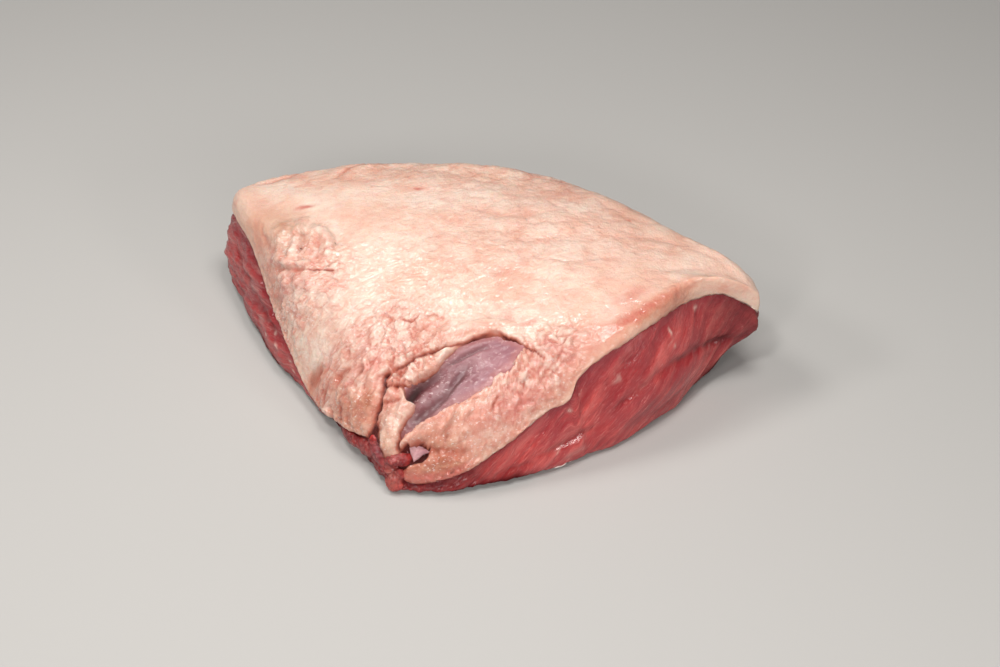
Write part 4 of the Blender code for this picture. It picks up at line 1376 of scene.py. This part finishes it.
def fat_material():
    s = Shader("raw_fat")
    along = s.stretched(s.position, -35, (0.65, 1, 1))
    clouds = s.noise(s.position, 52, 3, 0.5, 0.3)
    patches = s.noise(s.position, 95, 4, 0.6, 0.5)
    mottle = s.noise(along, 230, 4, 0.65, 0.8)
    specks = s.noise(s.position, 620, 4, 0.65, 0.5)
    glints = s.noise(along, 980, 2, 0.5)
    veins = s.noise(s.stretched(s.position, 8, (0.7, 1, 1)), 42, 4, 0.6, 0.8)
    veins = s.math("ABSOLUTE", s.math("SUBTRACT", veins, 0.5))

    s.start(s.ramp(clouds, 0.38, 0.62), "cream", "buff")
    s.paint("pink", s.ramp(patches, 0.45, 0.66), s.ramp("rosy", 0, 0.8, 0.25, 0.85))
    s.paint("rose", s.ramp(mottle, 0.50, 0.66), s.ramp("rosy", 0, 0.7, 0.15, 0.9))
    s.paint("flush", "flush", 0.6)
    s.paint("white", s.ramp(mottle, 0.48, 0.32), s.ramp("grainy", 0, 1, 0.2, 0.6))
    # Painted light: the tops of the lumps made lighter
    s.paint("top", "top", 0.5)
    # Tan, partly the fat's own colour and partly painted shade; deepest painted shade where the tan is
    # strongest, on the bottom lobe
    s.paint("tan_and_shade", "tan_and_shade", 0.85)
    s.paint("deep_tan_and_shade", s.ramp("tan_and_shade", 0.6, 0.95), s.ramp(mottle, 0.35, 0.6, 0.3, 0.9))
    s.paint("pore", s.ramp(specks, 0.58, 0.72), s.ramp("grainy", 0, 1, 0.1, 0.5))
    s.paint("glint", s.ramp(glints, 0.60, 0.70), s.ramp("wet", 0.1, 1, 0.1, 0.75))
    s.paint("vein", s.ramp(veins, 0.014, 0), "smoothed", 0.25)
    # Pink red in the clefts, partly painted shade
    s.paint("cleft", "cleft", 0.85)
    # Stains, and painted shade on the bottom lobe and along the front right edge
    s.paint("stain_and_shade", "stain_and_shade", s.ramp(mottle, 0.25, 0.55, 0.5, 1))
    # Red in the creases, turning to near black painted shade where they are deepest
    s.paint("crease", s.ramp("crease", 0, 0.6, 0, 0.9))
    s.paint("crease_shade", s.ramp("crease", 0.55, 0.95))

    height = s.plus(s.times(mottle, s.ramp("grainy", 0, 1, 0.25, 1)), s.times(specks, 0.4))
    ripples = s.plus(s.noise(s.position, 300, 3, 0.5, 0.4), s.times(s.noise(along, 760, 2, 0.5, 0.5), 0.3))
    ripples = s.times(ripples, s.ramp("wet", 0, 1, 0.15, 1))
    coat = s.less(s.ramp("wet", 0, 1, 0.35, 1), s.times("crease", 0.8))
    return s.finish_wet(coat, s.bump(height, 0.0013), s.bump(ripples, 0.0014))


def muscle_material():
    s = Shader("raw_muscle")
    fibre_run = s.node("ShaderNodeCombineXYZ")
    s.fill(fibre_run, X="grain_x", Y="grain_y", Z="across")
    shifted = s.node("ShaderNodeVectorMath", operation="MULTIPLY_ADD")
    waves = s.noise(s.position, 60, 3, 0.5)
    for socket, value in zip(shifted.inputs, (waves, (0, 0, 0.006), fibre_run.outputs[0])):
        s.put(socket, value)

    def strands(narrowing, *settings):
        """Noise drawn out along the fibres."""
        return s.noise(s.stretched(shifted.outputs[0], 0, (narrowing, narrowing, 1)), *settings)

    fibres = strands(0.09, 1150, 5, 0.75, 0.2)
    threads = strands(0.16, 1900, 3, 0.6, 0.3)
    bundles = strands(0.12, 230, 4, 0.6, 0.2)
    flecks = strands(0.20, 330, 3, 0.5, 0.5)
    blots = s.noise(s.position, 45, 4, 0.6, 0.3)
    # Painted shade, broken up by noise
    shaded = s.times("shaded", s.ramp(s.noise(s.position, 330, 4, 0.65, 0.3), 0.35, 0.6, 1, 0.7))

    s.start(s.ramp(bundles, 0.34, 0.68), "deep_red", "red")
    s.paint("blot", s.ramp(blots, 0.60, 0.38, 0, 0.65))
    s.paint("pale_fibre", s.ramp(fibres, 0.52, 0.78, 0, 0.75))
    s.paint("dark_fibre", s.ramp(fibres, 0.46, 0.28, 0, 0.6))
    s.paint("pale_thread", s.ramp(threads, 0.58, 0.72, 0, 0.6))
    s.paint("dark_thread", s.ramp(threads, 0.42, 0.28, 0, 0.55))
    s.paint("fleck", s.ramp(flecks, 0.66, 0.76, 0, 0.7))
    # Painted shade between the cords and painted highlight on top of them
    s.paint("shade_between_cords", s.ramp("cord_shading", 0.48, 0.2, 0, 0.6))
    s.paint("cord_shading", s.ramp("cord_shading", 0.58, 0.9, 0, 0.4))
    # Painted shade under the fat's edge
    s.paint("shade_under_fat", "near_fat", 0.6)
    s.paint("left", "left", 0.45)
    s.paint("left_fleck", "left", s.ramp(flecks, 0.56, 0.70, 0, 0.5))
    # Painted shade: the lower wall near black
    s.paint("low", "low", 0.94)
    # Painted shade at the tip end, the front left and the right end
    s.paint("shaded", shaded)
    s.paint("sinew", "sinew", 0.9)
    # Painted shade in the folds
    s.paint("fold_shade", "fold_shade", 0.85)

    dull = s.times(s.plus(shaded, "sinew"), 0.45)
    ripples = s.times(strands(0.35, 460, 4, 0.6, 0.3), s.ramp("wet", 0, 1, 0.3, 1))
    height = s.plus(s.times(fibres, 0.8), s.times(bundles, 0.7))
    coat = s.less(s.ramp("low", 0, 1, 0.85, 0.03), dull)
    return s.finish_wet(coat, s.bump(height, 0.0016), s.bump(ripples, 0.0014))


def tip_material():
    s = Shader("raw_tip_meat")
    blots = s.noise(s.position, 160, 4, 0.6, 0.4)
    fine = s.noise(s.position, 620, 4, 0.65, 0.3)
    s.start(s.ramp(blots, 0.36, 0.64), "deep_red", "red")
    s.paint("purple", "purple", 0.7)
    s.paint("pale", "pale", s.ramp(blots, 0.3, 0.6, 0.4, 0.9))
    s.paint("blood", "red", s.ramp(fine, 0.3, 0.6, 0.6, 1))
    s.paint("speck", s.ramp(fine, 0.58, 0.70, 0, 0.6))
    # Painted shade in the clefts
    s.paint("cleft", "cleft", 0.6)
    ripples = s.noise(s.position, 480, 3, 0.6, 0.3)
    height = s.plus(s.times(fine, 0.5), blots)
    return s.finish_wet(0.75, s.bump(height, 0.0014), s.bump(ripples, 0.0009))


def membrane_material():
    s = Shader("silver_membrane")
    along = s.stretched(s.position, -28, (0.45, 1, 1))
    clouds = s.noise(along, 55, 3, 0.55)
    fine = s.noise(along, 500, 4, 0.6)
    specks = s.noise(s.position, 420, 3, 0.6)
    glints = s.noise(along, 760, 3, 0.5)
    s.start(s.ramp(clouds, 0.36, 0.66), "mauve", "silver")
    s.paint("fine", s.ramp(fine, 0.56, 0.76, 0, 0.35))
    s.paint("speck", s.ramp(specks, 0.60, 0.72, 0, 0.6))
    s.paint("edge", "edge", 0.4)
    s.paint("wet", "wet", 0.6)
    s.paint("glint", s.ramp(glints, 0.60, 0.72), "wet", 0.65)
    # Painted shadow in the pocket under the strip
    s.paint("pit_shadow", "pit_shadow", 0.97)
    # Painted shade in the folds
    s.paint("fold_shade", "fold_shade", 0.7)
    ripples = s.plus(s.noise(along, 330, 3, 0.5, 0.5), s.times(s.noise(s.position, 800, 2, 0.5, 0.5), 0.3))
    ripples = s.times(ripples, s.ramp("wet", 0, 1, 0.35, 1))
    height = s.plus(s.times(fine, 0.4), clouds)
    coat = s.less(s.ramp("wet", 0, 1, 0.3, 0.9), "pit_shadow")
    return s.finish_wet(coat, s.bump(height, 0.0006, 0.8), s.bump(ripples, 0.0014))


def leaf_material():
    s = Shader("pale_leaf")
    clouds = s.noise(s.position, 180, 4, 0.6)
    fine = s.noise(s.position, 700, 4, 0.6)
    s.start(s.ramp(clouds, 0.35, 0.65), "mauve", "silver")
    height = s.plus(s.times(fine, 0.6), clouds)
    ripples = s.noise(s.position, 430, 3, 0.55)
    return s.finish_wet(0.6, s.bump(height, 0.0005, 0.7), s.bump(ripples, 0.002))


def shred_material():
    s = Shader("white_shred")
    fine = s.noise(s.position, 500, 3, 0.6)
    s.start(fine, "cream", "white")
    return s.finish(Roughness=0.4, Normal=s.bump(fine, 0.0003))


# ---- Studio ----
CAMERA_LOOK = np.array([0.0, 0.0, 30.0])
CAMERA_DISTANCE = 1149
CAMERA_ELEVATION = 40
FLOOR_HALF = 3  # metres
FLOOR_COLOUR = (0.48, 0.47, 0.455)
SKY_COLOUR = (0.80, 0.77, 0.74, 1)
SKY_STRENGTH = 0.10

# Lamps: place and size in metres, power, colour, and whether the wet surfaces mirror them
LAMPS = {
    "top_left": ((-0.38, 0.14, 0.80), 0.26, 2.1, (1.0, 0.98, 0.95), True),
    "top_right": ((0.12, -0.06, 0.88), 0.26, 2.8, (1.0, 0.98, 0.95), True),
    "side": ((-0.66, -0.10, 0.62), 0.16, 1.6, (1.0, 0.97, 0.94), True),
    "above_front": ((-0.12, -0.36, 0.78), 0.12, 1.8, (1.0, 0.98, 0.96), True),
    "front": ((-0.25, -0.75, 0.55), 0.16, 1.7, (1.0, 0.98, 0.96), True),
    "right": ((0.62, -0.62, 0.42), 0.18, 1.5, (1.0, 0.98, 0.96), True),
    "fill": ((0.25, -0.95, 0.45), 0.8, 3.0, (1.0, 0.98, 0.96), False),
}


def aim(obj, target):
    obj.rotation_mode = "QUATERNION"
    obj.rotation_quaternion = (Vector(target) - obj.location).to_track_quat("-Z", "Y")


def add_camera():
    data = bpy.data.cameras.new("camera")
    data.lens = 85
    data.sensor_width = 36
    camera = add_object("camera", data)
    back = np.array([0, -cos(radians(CAMERA_ELEVATION)), sin(radians(CAMERA_ELEVATION))])
    camera.location = placed(CAMERA_LOOK + back * CAMERA_DISTANCE)
    aim(camera, placed(CAMERA_LOOK))
    bpy.context.scene.camera = camera


def add_lamp(name, location, size, energy, colour, mirrored):
    data = bpy.data.lights.new(name, "AREA")
    data.shape = "DISK"
    data.size = size
    data.energy = energy
    data.color = colour
    light = add_object(name, data)
    light.location = location
    light.visible_glossy = mirrored
    aim(light, (0, 0, 0.02))


def add_floor():
    corners = [(x * FLOOR_HALF, y * FLOOR_HALF, 0) for x, y in ((-1, -1), (1, -1), (1, 1), (-1, 1))]
    floor = add_mesh("floor", corners, [(0, 1, 2, 3)])
    floor.data.materials.append(Shader("pale_floor", FLOOR_COLOUR).finish(Roughness=0.9))


def add_studio():
    add_floor()
    add_camera()
    for name, lamp in LAMPS.items():
        add_lamp(name, *lamp)
    world = bpy.data.worlds.new("studio")
    world.use_nodes = True
    background = world.node_tree.nodes["Background"]
    background.inputs[0].default_value = SKY_COLOUR
    background.inputs[1].default_value = SKY_STRENGTH
    bpy.context.scene.world = world
    bpy.context.scene.view_settings.view_transform = "Standard"


def main():
    make_fat().data.materials.append(fat_material())
    make_muscle().data.materials.append(muscle_material())
    make_membrane().data.materials.append(membrane_material())
    make_tip().data.materials.append(tip_material())
    make_leaf().data.materials.append(leaf_material())
    make_shreds().data.materials.append(shred_material())
    add_studio()


main()
